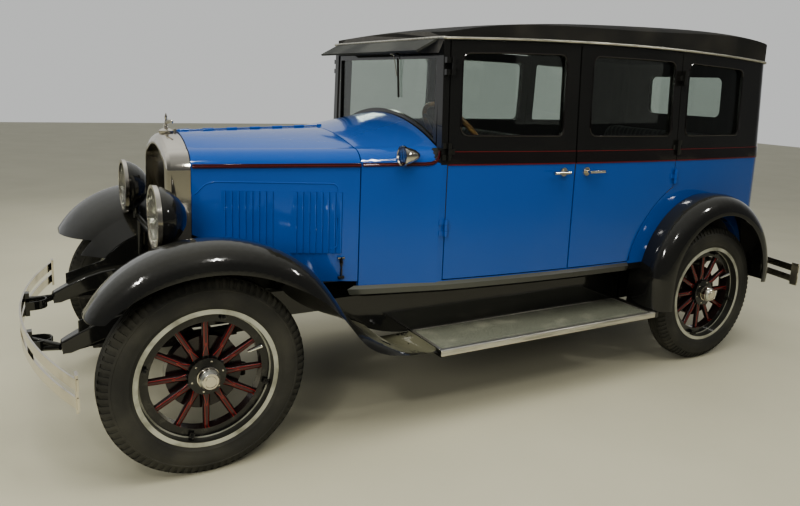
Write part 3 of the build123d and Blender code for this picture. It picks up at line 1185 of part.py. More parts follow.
# Steering column and wheel
SW_X, SW_Y, SW_Z, SW_R = 112.0, 370.0, 1290.0, 215.0
COLUMN_A = 38.0
dirx, dirz = cos(radians(COLUMN_A)), -sin(radians(COLUMN_A))
low = (SW_X + dirx * 700, SW_Y - 30, SW_Z + dirz * 700)
column = rod((SW_X + dirx * 34, SW_Y, SW_Z + dirz * 34), (SW_X + dirx * 700, SW_Y, SW_Z + dirz * 700), 20)
column -= floor
column -= rad_outer
top_p = Plane(origin=(SW_X, SW_Y, SW_Z), z_dir=(dirx, 0, dirz))
sw = top_p * Torus(SW_R, 13)
sw += top_p * (Pos(0, 0, 14) * Cylinder(34, 30))
for i in range(4):
    sw += top_p * (Rot(0, 0, 45 + 90 * i) * (Pos(SW_R / 2, 0, 8) * Box(SW_R, 18, 9)))
sw -= top_p * (Pos(0, 0, 24) * Cylinder(12.1, 60))
column += rod((SW_X + dirx * 8, SW_Y, SW_Z + dirz * 8), (SW_X + dirx * 60, SW_Y, SW_Z + dirz * 60), 12)
save("steering_column", column)
save("steering_wheel", sw)
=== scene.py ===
import json
import math
from math import cos, pi, radians, sin

import bmesh
import bpy
from mathutils import Matrix, Vector
from mathutils.bvhtree import BVHTree


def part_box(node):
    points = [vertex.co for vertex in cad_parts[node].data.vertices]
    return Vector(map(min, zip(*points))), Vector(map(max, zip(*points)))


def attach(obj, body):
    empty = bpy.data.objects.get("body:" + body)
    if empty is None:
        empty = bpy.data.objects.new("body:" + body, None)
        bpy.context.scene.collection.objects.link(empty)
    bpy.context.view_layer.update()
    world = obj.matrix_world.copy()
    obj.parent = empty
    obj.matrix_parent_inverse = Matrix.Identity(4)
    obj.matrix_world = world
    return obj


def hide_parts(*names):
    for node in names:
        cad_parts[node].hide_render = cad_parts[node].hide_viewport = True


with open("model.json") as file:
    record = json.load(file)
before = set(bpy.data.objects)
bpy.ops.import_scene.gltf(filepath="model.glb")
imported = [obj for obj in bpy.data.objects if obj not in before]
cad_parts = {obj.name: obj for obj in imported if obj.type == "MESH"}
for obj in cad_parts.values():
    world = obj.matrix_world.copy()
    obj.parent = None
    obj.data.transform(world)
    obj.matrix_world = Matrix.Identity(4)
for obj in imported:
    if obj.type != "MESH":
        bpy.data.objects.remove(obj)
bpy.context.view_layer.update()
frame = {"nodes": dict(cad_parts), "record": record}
NODES = frame["nodes"]
BODY_OF = {n: b for b, names in frame["record"]["behaviour"]["bodies"].items() for n in names}

# Sizes in millimetres from the middle of the wheelbase, as the car was drawn. The frame's x is SHIFT more.
SHIFT = 120.0
FRONT_X, REAR_X, TRACK, TYRE_R = 1460.0, -1460.0, 1422.0, 400.0
SPARE_X, SPARE_Z = -2146.0, 800.0
HOOD_X, DASH_X, A_X = 1415.0, 722.0, 320.0  # hood's front end, hood's rear end, windshield post
CORNER_X, CORNER_R = -1905.0, 150.0  # where the body's rear corners begin, and their radius
HALF_NOSE, HALF_DASH, HALF_A, HALF_MID, HALF_REAR = 290.0, 548.0, 628.0, 696.0, 640.0
BELT_Z, ROOF_EDGE = 1190.0, 1760.0
BOARD_TOP, BOARD_IN, BOARD_OUT = 372.0, 548.0, 835.0
BOARD_FRONT, BOARD_REAR = 437.0, -950.0
LAMP_X, LAMP_Y, LAMP_Z = 1593.0, 443.0, 980.0


def at(x, y, z):
    """A drawn point, in metres."""
    return Vector(((x + SHIFT) * 0.001, y * 0.001, z * 0.001))


MIDDLE_X, HALF_LENGTH = (A_X + CORNER_X) / 2, (A_X - CORNER_X) / 2


def half_width(x):
    """Half width of the body at the belt line."""
    u = (x - MIDDLE_X) / HALF_LENGTH
    mean, slope = (HALF_A + HALF_REAR) / 2, (HALF_A - HALF_REAR) / (A_X - CORNER_X)
    return mean + slope * (x - MIDDLE_X) + (HALF_MID - mean) * (1 - u * u)


def roof_edge(x):
    """Height of the roof's lower edge."""
    u = (x - MIDDLE_X) / HALF_LENGTH
    return ROOF_EDGE + 26 * (1 - u * u)


def lean(z):
    """How far the body's side has come in at height z."""
    return 24.0 * max(0.0, z - BELT_Z) / (ROOF_EDGE + 40 - BELT_Z)


# Finishes
class Value:
    """A socket in a finish. Sums on it add Math nodes."""

    def __init__(self, finish, socket):
        self.finish, self.socket = finish, socket

    def math(self, operation, *values):
        return self.finish.node("ShaderNodeMath", {"operation": operation}, dict(enumerate(values)))

    def __add__(self, other):
        return self.math("ADD", self, other)

    def __sub__(self, other):
        return self.math("SUBTRACT", self, other)

    def __mul__(self, other):
        return self.math("MULTIPLY", self, other)

    def __truediv__(self, other):
        return self.math("DIVIDE", self, other)

    def __rsub__(self, other):
        return self.math("SUBTRACT", other, self)

    __radd__ = __add__

    def size(self):
        return self.math("ABSOLUTE", self)

    def root(self):
        return self.math("SQRT", self)

    def sine(self):
        return self.math("SINE", self)

    def part(self):
        """What is left over a whole number."""
        return self.math("FRACT", self)

    def smaller(self, other):
        return self.math("MINIMUM", self, other)

    def step(self, low, high):
        """0 below low, 1 above high, smooth between. Low above high turns it round."""
        if low > high:
            return 1 - self.step(high, low)
        return self.finish.node("ShaderNodeMapRange", {"interpolation_type": "SMOOTHSTEP"},
                                {"Value": self, "From Min": low, "From Max": high})

    def line(self, centre, half, soft):
        """1 within half of centre."""
        return (self - centre).size().step(half + soft, half)


class Finish:
    """A material: a Principled shader with named values, and nodes in front of it."""

    def __init__(self, name, colour, roughness=0.4, **values):
        self.material = bpy.data.materials.new(name)
        self.material.use_nodes = True
        self.tree = self.material.node_tree
        self.shader = self.tree.nodes["Principled BSDF"]
        self.set("Base Color", (*colour, 1.0))
        self.set("Roughness", roughness)
        for key, value in values.items():
            self.set(key.replace("_", " "), value)
        self.place = self.node("ShaderNodeTexCoord", {}, {}, "Object")
        self.x, self.y, self.z = (self.node("ShaderNodeSeparateXYZ", {}, {0: self.place}, k) for k in "XYZ")

    def node(self, kind, settings, inputs, output=0):
        made = self.tree.nodes.new(kind)
        for key, value in settings.items():
            setattr(made, key, value)
        for key, value in inputs.items():
            if isinstance(value, Value):
                self.tree.links.new(value.socket, made.inputs[key])
            else:
                made.inputs[key].default_value = value
        return Value(self, made.outputs[output])

    def set(self, key, value):
        if isinstance(value, Value):
            self.tree.links.new(value.socket, self.shader.inputs[key])
        else:
            self.shader.inputs[key].default_value = value

    def noise(self, scale, detail=2.0, vector=None):
        return self.node("ShaderNodeTexNoise", {}, {
            "Vector": vector or self.place, "Scale": scale, "Detail": detail, "Roughness": 0.5})

    def mix(self, factor, a, b):
        def full(c):
            return c if isinstance(c, Value) else (*c[:3], 1.0)
        return self.node("ShaderNodeMix", {"data_type": "RGBA"}, {0: factor, 6: full(a), 7: full(b)}, 2)

    def stretched(self, x, y, z):
        """Coordinates drawn out along the axes, for grain and brush marks."""
        return self.node("ShaderNodeMapping", {}, {"Vector": self.place, "Scale": (x, y, z)})

    def bump(self, height, distance, strength=1.0):
        self.set("Normal", self.node("ShaderNodeBump", {}, {
            "Strength": strength, "Distance": distance, "Height": height}))


BLUE = (0.0075, 0.060, 0.25)
BLACK = (0.009, 0.009, 0.0085)
MAROON = (0.030, 0.003, 0.006)
RED = (0.27, 0.018, 0.014)
DUST = (0.16, 0.155, 0.115)


def enamel(name, colour, dust=0.12, rough=0.08):
    """Old brushed and polished enamel with a film of dust on what faces up."""
    f = Finish(name, colour, rough, Coat_Weight=0.5, Coat_Roughness=0.04)
    cloud = f.noise(2.1, 4.0)
    fine = f.noise(55.0, 3.0)
    up = f.node("ShaderNodeSeparateXYZ", {}, {0: f.node("ShaderNodeNewGeometry", {}, {}, "Normal")}, "Z")
    film = up.step(0.2, 1.0) * dust + cloud.step(0.45, 0.8) * (dust * 0.5)
    f.film, f.fine = film, fine
    f.base = f.mix(cloud * 0.25, colour, tuple(c * 1.35 for c in colour))
    f.set("Base Color", f.mix(film, f.base, DUST))
    f.set("Roughness", rough + film * 0.55 + fine * 0.03)
    f.bump(fine + f.noise(9.0, 1.0) * 1.6, 0.0006, 0.22)
    return f


def make_body():
    """Blue below the belt line and black above it."""
    f = enamel("body_blue_and_black", BLUE, 0.05)
    above = f.z.step(1.1856, 1.1862)
    f.set("Base Color", f.mix(f.film, f.mix(above, f.base, BLACK), DUST))
    return f


def make_fender():
    """Black enamel, with a painted reflection of the floor in olive low on its inner part above the board,
    broken up by noise and thinning out towards the outer lip; the enamel is rougher there too.
    """
    f = enamel("fender_black", BLACK, 0.09)
    low = f.x.step(1.10, 0.80) * f.z.step(0.58, 0.42)
    side = f.y.size()
    reflection_area = low * side.step(0.824, 0.808) * f.x.step(0.30, 0.40)
    reflection_gaps = (f.noise(16.0, 5.0) + side.step(0.74, 0.82) * f.x.step(0.80, 0.60) * 0.24).step(0.60, 0.64)
    # this mask places the olive painted reflection of the floor; it also makes the enamel rougher
    worn = reflection_area * (1 - reflection_gaps)
    reflected_olive = f.mix(f.noise(7.0, 3.0), (0.075, 0.075, 0.048), (0.125, 0.12, 0.08))
    f.set("Base Color", f.mix(worn, f.mix(f.film, f.base, DUST), reflected_olive))
    f.set("Roughness", 0.09 + f.film * 0.5 + worn * 0.5 + f.fine * 0.03)
    return f


def make_nickel(name, colour=(0.70, 0.66, 0.58), rough=0.12):
    f = Finish(name, colour, rough, Metallic=1.0)
    haze = f.noise(6.0, 4.0)
    fine = f.noise(140.0, 2.0)
    f.set("Base Color", f.mix(haze.step(0.5, 0.8) * 0.5, colour, tuple(c * 0.6 for c in colour)))
    f.set("Roughness", rough + haze.step(0.4, 0.85) * 0.18)
    f.bump(fine, 0.0002, 0.12)
    return f


def make_trim_metal():
    f = Finish("aluminium_trim", (0.62, 0.60, 0.54), 0.34, Metallic=0.9)
    marks = f.noise(30.0, 4.0, f.stretched(0.15, 3.0, 3.0))
    f.set("Base Color", f.mix(marks.step(0.4, 0.75), (0.66, 0.64, 0.57), (0.38, 0.37, 0.32)))
    f.set("Roughness", 0.28 + marks * 0.25)
    f.bump(marks, 0.0003, 0.2)
    return f


def make_roof():
    """Coated fabric with a fine leather grain."""
    f = Finish("roof_fabric_black", (0.02, 0.019, 0.018), 0.5, Specular_IOR_Level=0.28)
    cells = f.node("ShaderNodeTexVoronoi", {"feature": "DISTANCE_TO_EDGE"},
                   {"Vector": f.place, "Scale": 420.0})
    age = f.noise(3.0, 5.0)
    f.set("Base Color", f.mix(age.step(0.35, 0.8), (0.010, 0.010, 0.0095), (0.032, 0.030, 0.025)))
    f.set("Roughness", 0.50 + age * 0.25)
    f.bump(cells.smaller(0.2) * 4.0 + f.noise(14.0, 3.0) * 0.8, 0.0006, 0.35)
    return f


def make_visor():
    """Painted board, dull with age."""
    f = Finish("visor_grey_black", (0.028, 0.029, 0.027), 0.55, Specular_IOR_Level=0.25)
    age = f.noise(5.0, 5.0)
    f.set("Base Color", f.mix(age.step(0.35, 0.75), (0.020, 0.021, 0.019), (0.06, 0.062, 0.056)))
    f.set("Roughness", 0.45 + age * 0.3)
    f.bump(f.noise(80.0, 3.0), 0.0004, 0.2)
    return f


def make_cloth(name, dark, light, pitch):
    """Wool cloth with a woven face and soft stripes, pitch metres apart across the car."""
    f = Finish(name, dark, 0.95, Sheen_Weight=0.25, Sheen_Roughness=0.5)
    threads = 2600
    weave = (f.x * threads).sine() * (f.y * threads).sine() * (f.z * threads + 1.0).sine()
    stripe = (f.y / pitch + 20.0).part().line(0.5, 0.10, 0.06)
    worn = f.noise(8.0, 4.0)
    base = f.mix(worn, dark, tuple(0.5 * (a + b) for a, b in zip(dark, light)))
    f.set("Base Color", f.mix(stripe * 0.7, base, light))
    f.bump(weave * 0.4 + f.noise(260.0, 2.0), 0.0006, 0.4)
    return f


def make_rubber():
    f = Finish("tyre_rubber", (0.021, 0.021, 0.019), 0.7)
    dusty = f.noise(5.0, 5.0)
    fine = f.noise(160.0, 3.0)
    dirt = dusty.step(0.35, 0.8) * 0.55 + fine * 0.12
    f.set("Base Color", f.mix(dirt, (0.016, 0.016, 0.015), (0.075, 0.072, 0.056)))
    f.set("Roughness", 0.56 + dusty * 0.28)
    f.bump(fine, 0.0005, 0.3)
    return f


# The wood wheel's radii in metres: hub flange, where the spokes enter the felloe, rim, hub cap
SPOKES = 12
FLANGE_R, FELLOE_R, RIM_R, CAP_R = 0.079, 0.221, 0.252, 0.042


def make_wheel(name, centre, axle):
    """Wood wheel: grey rim with a painted shadow line at its step, black felloe, maroon spokes lined in red,
    painted lighter down their middles and darker at their sides as light and shade, black flange, nickel cap.
    Centre is the wheel's middle in metres; axle is 1 or -1 along Y, or 0 for the spare, along -X."""
    f = Finish(name, BLACK, 0.2, Coat_Weight=0.4, Coat_Roughness=0.06)
    if axle:
        across, out = f.x - centre.x, (f.y - centre.y) * axle
    else:
        across, out = f.y - centre.y, (f.x - centre.x) * -1.0
    up = f.z - centre.z
    r = (across * across + up * up).root()
    turn = up.math("ARCTAN2", across, up) * (SPOKES / (2 * pi))
    wide = (((turn + 20.5).part() - 0.5) * r * (2 * pi / SPOKES)).size()
    grain = f.noise(24.0, 4.0)
    on_spoke = r.step(FLANGE_R - 0.001, FLANGE_R + 0.001) * r.step(FELLOE_R + 0.001, FELLOE_R - 0.001)
    edge_line = wide.line(0.0068, 0.0006, 0.0005) * r.step(0.118, 0.124)
    vee = (wide - (0.132 - r) * 0.24).size().step(0.0012, 0.0007) * r.step(0.134, 0.130)
    lining = (edge_line + vee).smaller(1.0) * on_spoke * out.step(-0.004, 0.0)
    # painted light and shade: each spoke's middle is lighter wood and its sides fade to near black
    painted_crown_light = wide.step(0.014, 0.006) * on_spoke
    wood = f.mix(grain, (0.040, 0.010, 0.009), (0.060, 0.016, 0.014))
    spokes = f.mix(painted_crown_light * 0.85, (0.014, 0.008, 0.008), wood)
    base = f.mix(on_spoke, f.mix(grain.step(0.5, 0.8) * 0.2, BLACK, DUST), spokes)
    base = f.mix(lining, base, RED)
    rim = r.step(RIM_R - 0.0005, RIM_R + 0.0005)
    worn = f.noise(11.0, 5.0).step(0.35, 0.70)
    rim_colour = f.mix(worn, (0.42, 0.42, 0.35), (0.20, 0.20, 0.155))
    # a painted shadow line round the rim at 260 mm, where its step would throw shade
    rim_colour = f.mix(r.line(0.2600, 0.0006, 0.0008), rim_colour, (0.03, 0.03, 0.026))
    base = f.mix(rim, base, rim_colour)
    cap = r.step(CAP_R + 0.0005, CAP_R - 0.0005) * out.step(0.042, 0.044)
    f.set("Base Color", f.mix(cap, base, (0.66, 0.66, 0.60)))
    f.set("Metallic", cap * 0.95 + rim * 0.25)
    f.set("Roughness", 0.16 + rim * 0.26 + cap * 0.1 + grain * 0.12)
    f.bump(grain + f.noise(120.0) * 0.4, 0.0004, 0.25)
    return f


def make_linoleum():
    f = Finish("board_linoleum", (0.13, 0.13, 0.10), 0.7)
    speck = f.noise(190.0, 3.0)
    scuff = f.noise(7.0, 6.0)
    base = f.mix(speck.step(0.4, 0.65), (0.085, 0.09, 0.068), (0.16, 0.165, 0.13))
    f.set("Base Color", f.mix(scuff.step(0.5, 0.78) * 0.6, base, (0.27, 0.27, 0.21)))
    f.set("Roughness", 0.5 + scuff * 0.35)
    f.bump(speck + scuff, 0.0006, 0.3)
    return f


def make_iron(name, colour, dust=0.3):
    f = Finish(name, colour, 0.5)
    rust = f.noise(9.0, 6.0)
    fine = f.noise(90.0, 4.0)
    base = f.mix(rust.step(0.5, 0.72) * dust, colour, (0.10, 0.06, 0.035))
    f.set("Base Color", f.mix(fine.step(0.5, 0.8) * dust, base, DUST))
    f.set("Roughness", 0.42 + rust * 0.3)
    f.bump(fine + rust * 0.6, 0.0009, 0.35)
    return f


def make_wood(name, light, dark, gloss):
    f = Finish(name, light, gloss, Coat_Weight=0.4, Coat_Roughness=0.1)
    rings = f.noise(26.0, 5.0, f.stretched(0.7, 1.0, 5.0))
    pores = f.noise(210.0, 2.0, f.stretched(0.2, 1.0, 1.0))
    f.set("Base Color", f.mix(rings.step(0.3, 0.75) * 0.8 + pores * 0.2, light, dark))
    f.set("Roughness", gloss + pores * 0.12)
    f.bump(rings + pores * 0.5, 0.0004, 0.2)
    return f


def make_glass(name, colour, fluted=False):
    f = Finish(name, colour, 0.0, Transmission_Weight=1.0, IOR=1.46)
    smear = f.noise(4.0, 5.0)
    f.set("Roughness", smear.step(0.6, 0.85) * 0.05)
    if fluted:
        f.bump((f.y * 420).sine(), 0.001, 0.5)
    else:
        f.bump(f.noise(2.5, 1.0), 0.0006, 0.08)
    return f


body_finish = make_body()
blue = enamel("hood_blue", BLUE, 0.07)
black = enamel("chassis_black", BLACK, 0.12)
belt_black = enamel("belt_black", (0.008, 0.006, 0.006), 0.03)
maroon = enamel("moulding_maroon", MAROON, 0.03)
red_line = enamel("lining_red", (0.16, 0.012, 0.012), 0.02)
maroon_line = enamel("lining_maroon", (0.09, 0.006, 0.012), 0.02)
fender_finish = make_fender()
nickel = make_nickel("nickel_plate")
bright_nickel = make_nickel("reflector_silver", (0.80, 0.80, 0.76), 0.06)
trim_metal = make_trim_metal()
roof_finish = make_roof()
visor_finish = make_visor()
# the sill's black is painted grey as a painted reflection of the pale floor, lighter towards the front
sill_finish = enamel("sill_black_painted_reflection", (0.045, 0.047, 0.040), 0.35, 0.16)
painted_front_reflection = sill_finish.x.step(-0.9, 0.5)
sill_finish.set("Base Color", sill_finish.mix(painted_front_reflection, (0.012, 0.012, 0.011), (0.060, 0.063, 0.053)))
lining_cloth = make_cloth("headliner_cloth", (0.035, 0.033, 0.028), (0.048, 0.044, 0.038), 0.11)
seat_cloth = make_cloth("seat_stripe_cloth", (0.060, 0.060, 0.060), (0.17, 0.17, 0.165), 0.0373)
rubber = make_rubber()
linoleum = make_linoleum()
iron = make_iron("axle_iron", (0.022, 0.021, 0.019), 0.45)
engine_iron = make_iron("engine_grey", (0.10, 0.105, 0.10), 0.5)
core_finish = make_iron("core_black", (0.014, 0.014, 0.013), 0.2)
rim_wood = make_wood("steering_rim_wood", (0.50, 0.27, 0.09), (0.24, 0.10, 0.03), 0.25)
floor_wood = make_wood("floor_boards", (0.20, 0.13, 0.07), (0.10, 0.06, 0.035), 0.6)
window_glass = make_glass("window_glass", (0.60, 0.65, 0.61))
lamp_glass = make_glass("lamp_glass", (0.93, 0.94, 0.90), True)
red_glass = Finish("tail_red_glass", (0.45, 0.01, 0.01), 0.1, Coat_Weight=0.5)
red_glass.set("Base Color", red_glass.mix(red_glass.noise(60.0), (0.45, 0.01, 0.01), (0.25, 0.0, 0.0)))


# Work on meshes
def only(*objects):
    if bpy.context.object and bpy.context.object.mode != "OBJECT":
        bpy.ops.object.mode_set(mode="OBJECT")
    bpy.ops.object.select_all(action="DESELECT")
    for o in objects:
        o.hide_viewport = False
        o.select_set(True)
    bpy.context.view_layer.objects.active = objects[0]


def select(o, kind, test):
    """Edit mode on o, with the faces, edges or verts that pass test selected."""
    only(o)
    bpy.ops.object.mode_set(mode="EDIT")
    bpy.ops.mesh.select_mode(type={"faces": "FACE", "edges": "EDGE", "verts": "VERT"}[kind])
    bpy.ops.mesh.select_all(action="DESELECT")
    bm = bmesh.from_edit_mesh(o.data)
    for e in [e for e in getattr(bm, kind) if test(e)]:
        e.select_set(True)
    bm.select_flush_mode()
    bmesh.update_edit_mesh(o.data)


def centre_of(e):
    if hasattr(e, "calc_center_median"):
        return e.calc_center_median()
    return (e.verts[0].co + e.verts[1].co) / 2


def object_mode():
    bpy.ops.object.mode_set(mode="OBJECT")


def tidy(o, angle=30.0, doubles=0.00001, turn=True):
    """Merges doubles, turns faces outward and smooths all but the sharp edges."""
    only(o)
    bpy.ops.object.mode_set(mode="EDIT")
    bpy.ops.mesh.select_mode(type="VERT")
    bpy.ops.mesh.select_all(action="SELECT")
    bpy.ops.mesh.remove_doubles(threshold=doubles)
    if turn:
        bpy.ops.mesh.normals_make_consistent(inside=False)
    object_mode()
    bpy.ops.object.shade_smooth_by_angle(angle=radians(angle))
    return o


def named(name, *finishes):
    o = bpy.context.object
    o.name = name
    o.data.name = name
    for f in finishes:
        o.data.materials.append(f.material)
    return o


def settle(o):
    """Puts the object at the origin with its place in its mesh."""
    only(o)
    bpy.ops.object.transform_apply(location=True, rotation=True, scale=True)
    return o


def bevel(o, width, segments=2, angle=30.0):
    only(o)
    m = o.modifiers.new("edge", "BEVEL")
    m.width, m.segments = width * 0.001, segments
    m.limit_method, m.angle_limit = "ANGLE", radians(angle)
    bpy.ops.object.modifier_apply(modifier=m.name)
    return o


def slab(name, low, high, finish, edge=0.0, segments=2):
    """A block between two drawn corners, its edges rounded."""
    a, b = at(*low), at(*high)
    bpy.ops.mesh.primitive_cube_add(size=1.0, location=(a + b) / 2)
    o = named(name, finish)
    o.scale = [abs(v) for v in b - a]
    settle(o)
    if edge:
        bevel(o, edge, segments)
    return tidy(o, 35)


def lathe(name, rows, steps, finish, place, axis=(0, 0, 1), capped=True, smooth=30.0):
    """Turns rows of (radius, height) about axis through place: a circle, extruded ring by ring.
    The ends are filled unless capped is False, or drawn to a point where a radius is under 1 mm."""
    r0, h0 = rows[0]
    bpy.ops.mesh.primitive_circle_add(vertices=steps, radius=r0 * 0.001, location=(0, 0, h0 * 0.001))
    o = named(name, finish)
    settle(o)
    only(o)
    bpy.ops.object.mode_set(mode="EDIT")
    bpy.ops.mesh.select_mode(type="VERT")
    bpy.ops.mesh.select_all(action="SELECT")
    for (ra, ha), (rb, hb) in zip(rows, rows[1:]):
        bpy.ops.mesh.extrude_region_move(TRANSFORM_OT_translate={"value": (0, 0, (hb - ha) * 0.001)})
        k = rb / ra
        bpy.ops.transform.resize(value=(k, k, 1.0), center_override=(0, 0, hb * 0.001))
    object_mode()
    if capped and min(rows[0][0], rows[-1][0]) < 1.0:
        tidy(o, smooth, 0.0004)
    elif capped:
        select(o, "edges", lambda e: e.is_boundary)
        bpy.ops.mesh.edge_face_add()
        object_mode()
    turn = Vector((0, 0, 1)).rotation_difference(Vector(axis))
    o.matrix_world = Matrix.Translation(place) @ turn.to_matrix().to_4x4()
    settle(o)
    return tidy(o, smooth, 0.00002)


def tube(name, points, size, finish, closed=False, smooth=40.0, taper=()):
    """A bar along drawn points, made a mesh. Its section is round where size is a radius, and flat
    where it is (width, height). Taper scales it point by point."""
    bpy.ops.curve.primitive_nurbs_path_add(location=(0, 0, 0))
    o = bpy.context.object
    o.name = name
    curve = o.data
    curve.splines.clear()
    s = curve.splines.new("POLY")
    s.points.add(len(points) - 1)
    for p, q in zip(s.points, points):
        p.co = (*at(*q), 1.0)
    for p, k in zip(s.points, taper):
        p.radius = k
    s.use_cyclic_u = closed
    curve.dimensions = "3D"
    curve.twist_mode = "Z_UP"
    flat = isinstance(size, tuple)
    if flat:
        bpy.ops.mesh.primitive_plane_add(size=1.0, location=(0, 0, 0))
        section = bpy.context.object
        section.scale = (size[0] * 0.001, size[1] * 0.001, 1.0)
        settle(section)
        only(section)
        bpy.ops.object.convert(target="CURVE")
        section = bpy.context.object
        curve.bevel_mode, curve.bevel_object = "OBJECT", section
    else:
        curve.bevel_depth, curve.bevel_resolution = size * 0.001, 2
    curve.use_fill_caps = True
    only(o)
    bpy.ops.object.convert(target="MESH")
    o = bpy.context.object
    if flat:
        bpy.data.objects.remove(section)
    o.data.materials.clear()
    o.data.materials.append(finish.material)
    o.name = name
    settle(o)
    return tidy(o, smooth, 0.00002)


def copy_of(o, name, matrix=None):
    """A copy with its own mesh, moved by matrix."""
    mesh = o.data.copy()
    new = bpy.data.objects.new(name, mesh)
    bpy.context.scene.collection.objects.link(new)
    if matrix is not None:
        mesh.transform(matrix)
        if matrix.determinant() < 0:
            mesh.flip_normals()
    return new


MIRROR = Matrix.Scale(-1.0, 4, Vector((0, 1, 0)))


def join(name, *objects):
    only(*objects)
    bpy.ops.object.join()
    o = bpy.context.object
    o.name = name
    o.data.name = name
    return o


def ride(o, body):
    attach(o, body)
    return o


def both(o, name, body):
    """Puts a piece on the left and its mirror copy on the right, each on its own side's body."""
    right = copy_of(o, name + "_right", MIRROR)
    o.name = name + "_left"
    ride(o, body.replace("SIDE", "left"))
    ride(right, body.replace("SIDE", "right"))


def paint(o, finish, test):
    """Gives the faces that pass test(centre, normal) another finish."""
    o.data.materials.append(finish.material)
    k = len(o.data.materials) - 1
    for p in o.data.polygons:
        if test(p.center, p.normal):
            p.material_index = k


def recoat(o, finish):
    """Gives all faces one finish."""
    o.data.materials.clear()
    for p in o.data.polygons:
        p.material_index = 0
    o.data.materials.append(finish.material)


def skin(node, finish, angle=30.0):
    """A smooth-shaded copy of a node, which stands for it."""
    o = copy_of(NODES[node], node + "_skin")
    recoat(o, finish)
    only(o)
    bpy.ops.mesh.customdata_custom_splitnormals_clear()
    tidy(o, angle, turn=False)
    m = o.modifiers.new("faces", "WEIGHTED_NORMAL")
    m.keep_sharp = True
    bpy.ops.object.modifier_apply(modifier=m.name)
    ride(o, BODY_OF[node])
    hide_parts(node)
    return o


def drawn(p):
    """A point in metres as drawn millimetres."""
    return p.x * 1000 - SHIFT, p.y * 1000, p.z * 1000


def depth(p):
    """How far a point lies inside the body's side, in millimetres."""
    x, y, z = drawn(p)
    if x < CORNER_X:
        cy = HALF_REAR - CORNER_R
        if abs(y) > cy:
            return CORNER_R - lean(z) - math.hypot(x - CORNER_X, abs(y) - cy)
        return CORNER_R - lean(z) - (CORNER_X - x)
    return half_width(x) - lean(z) - abs(y)


# Camera, light and floor
# The photo's camera, worked out from its wheels and body: its place as drawn, its turns in radians, its
# lens and its level row in the photo's pixels
CAMERA_AT = (2066.1, 3309.7, 1555.2)
YAW, PITCH, ROLL = -0.5108, 0.1758, 0.0386
PHOTO_WIDE, PHOTO_HIGH = 800.0, 506.0
LENS_PIXELS, LEVEL_ROW = 690.65, 205.96
SENSOR = 36.0


def place_camera():
    ahead = Vector((sin(YAW) * cos(PITCH), -cos(YAW) * cos(PITCH), -sin(PITCH)))
    level = ahead.cross(Vector((0, 0, 1))).normalized()
    over = level.cross(ahead)
    right = level * cos(ROLL) + over * sin(ROLL)
    up = over * cos(ROLL) - level * sin(ROLL)
    data = bpy.data.cameras.new("camera")
    camera = bpy.data.objects.new("camera", data)
    bpy.context.scene.collection.objects.link(camera)
    turn = Matrix((right, up, -ahead)).transposed().to_4x4()
    camera.matrix_world = Matrix.Translation(at(*CAMERA_AT)) @ turn
    data.sensor_width, data.lens = SENSOR, LENS_PIXELS * SENSOR / PHOTO_WIDE
    data.shift_y = -(PHOTO_HIGH / 2 - LEVEL_ROW) / PHOTO_WIDE
    data.clip_start, data.clip_end = 0.05, 60.0
    bpy.context.scene.camera = camera


# name, where it stands, where it points, width, height, strength, seen in reflections
LIGHT_ROWS = [
    ("overhead_soft", (1.2, 1.6, 4.4), (0.6, 0.0, 0.6), 4.6, 2.4, 150.0, False),
    ("front_key", (4.8, 4.4, 2.6), (1.0, 0.2, 0.7), 2.2, 1.6, 150.0, False),
    ("side_fill", (-3.4, 4.2, 2.2), (-0.8, 0.2, 0.8), 2.6, 1.6, 10.0, False),
    ("back_soft", (-1.0, -4.4, 3.2), (0.0, 0.0, 1.0), 4.0, 1.6, 130.0, False),
    ("lamp_front", (3.4, 3.0, 3.4), (1.4, 0.4, 0.8), 0.30, 0.30, 26.0, True),
    ("lamp_mid", (0.6, 3.6, 3.6), (0.0, 0.4, 0.9), 0.30, 0.30, 20.0, True),
    ("lamp_rear", (-3.0, 3.0, 3.4), (-1.6, 0.4, 0.9), 0.30, 0.30, 20.0, True),
]


def place_lights():
    for name, spot, target, width, height, power, glint in LIGHT_ROWS:
        data = bpy.data.lights.new(name, "AREA")
        data.shape, data.size, data.size_y, data.energy = "RECTANGLE", width, height, power
        data.color = (1.0, 0.98, 0.92)
        light = bpy.data.objects.new(name, data)
        bpy.context.scene.collection.objects.link(light)
        light.visible_glossy = glint
        aim = (Vector(target) - Vector(spot)).to_track_quat("-Z", "Y")
        light.matrix_world = Matrix.Translation(Vector(spot)) @ aim.to_matrix().to_4x4()
    world = bpy.data.worlds.new("studio")
    bpy.context.scene.world = world
    world.use_nodes = True
    nodes, links = world.node_tree.nodes, world.node_tree.links
    sky = nodes["Background"]
    direction = nodes.new("ShaderNodeTexCoord")
    apart = nodes.new("ShaderNodeSeparateXYZ")
    links.new(direction.outputs["Generated"], apart.inputs["Vector"])
    total = nodes.new("ShaderNodeMath")
    # dark on the camera's side, pale behind the car, and paler overhead
    for k, (axis, *limits) in enumerate([("Y", 0.35, -0.55, 0.12, 0.60), ("Z", 0.25, 1.0, 0.0, 0.30)]):
        band = nodes.new("ShaderNodeMapRange")
        band.interpolation_type = "SMOOTHSTEP"
        for key, value in zip(("From Min", "From Max", "To Min", "To Max"), limits):
            band.inputs[key].default_value = value
        links.new(apart.outputs[axis], band.inputs["Value"])
        links.new(band.outputs[0], total.inputs[k])
    links.new(total.outputs[0], sky.inputs["Strength"])
    sky.inputs["Color"].default_value = (0.88, 0.89, 0.88, 1.0)
    bpy.context.scene.view_settings.look = "AgX - Medium High Contrast"


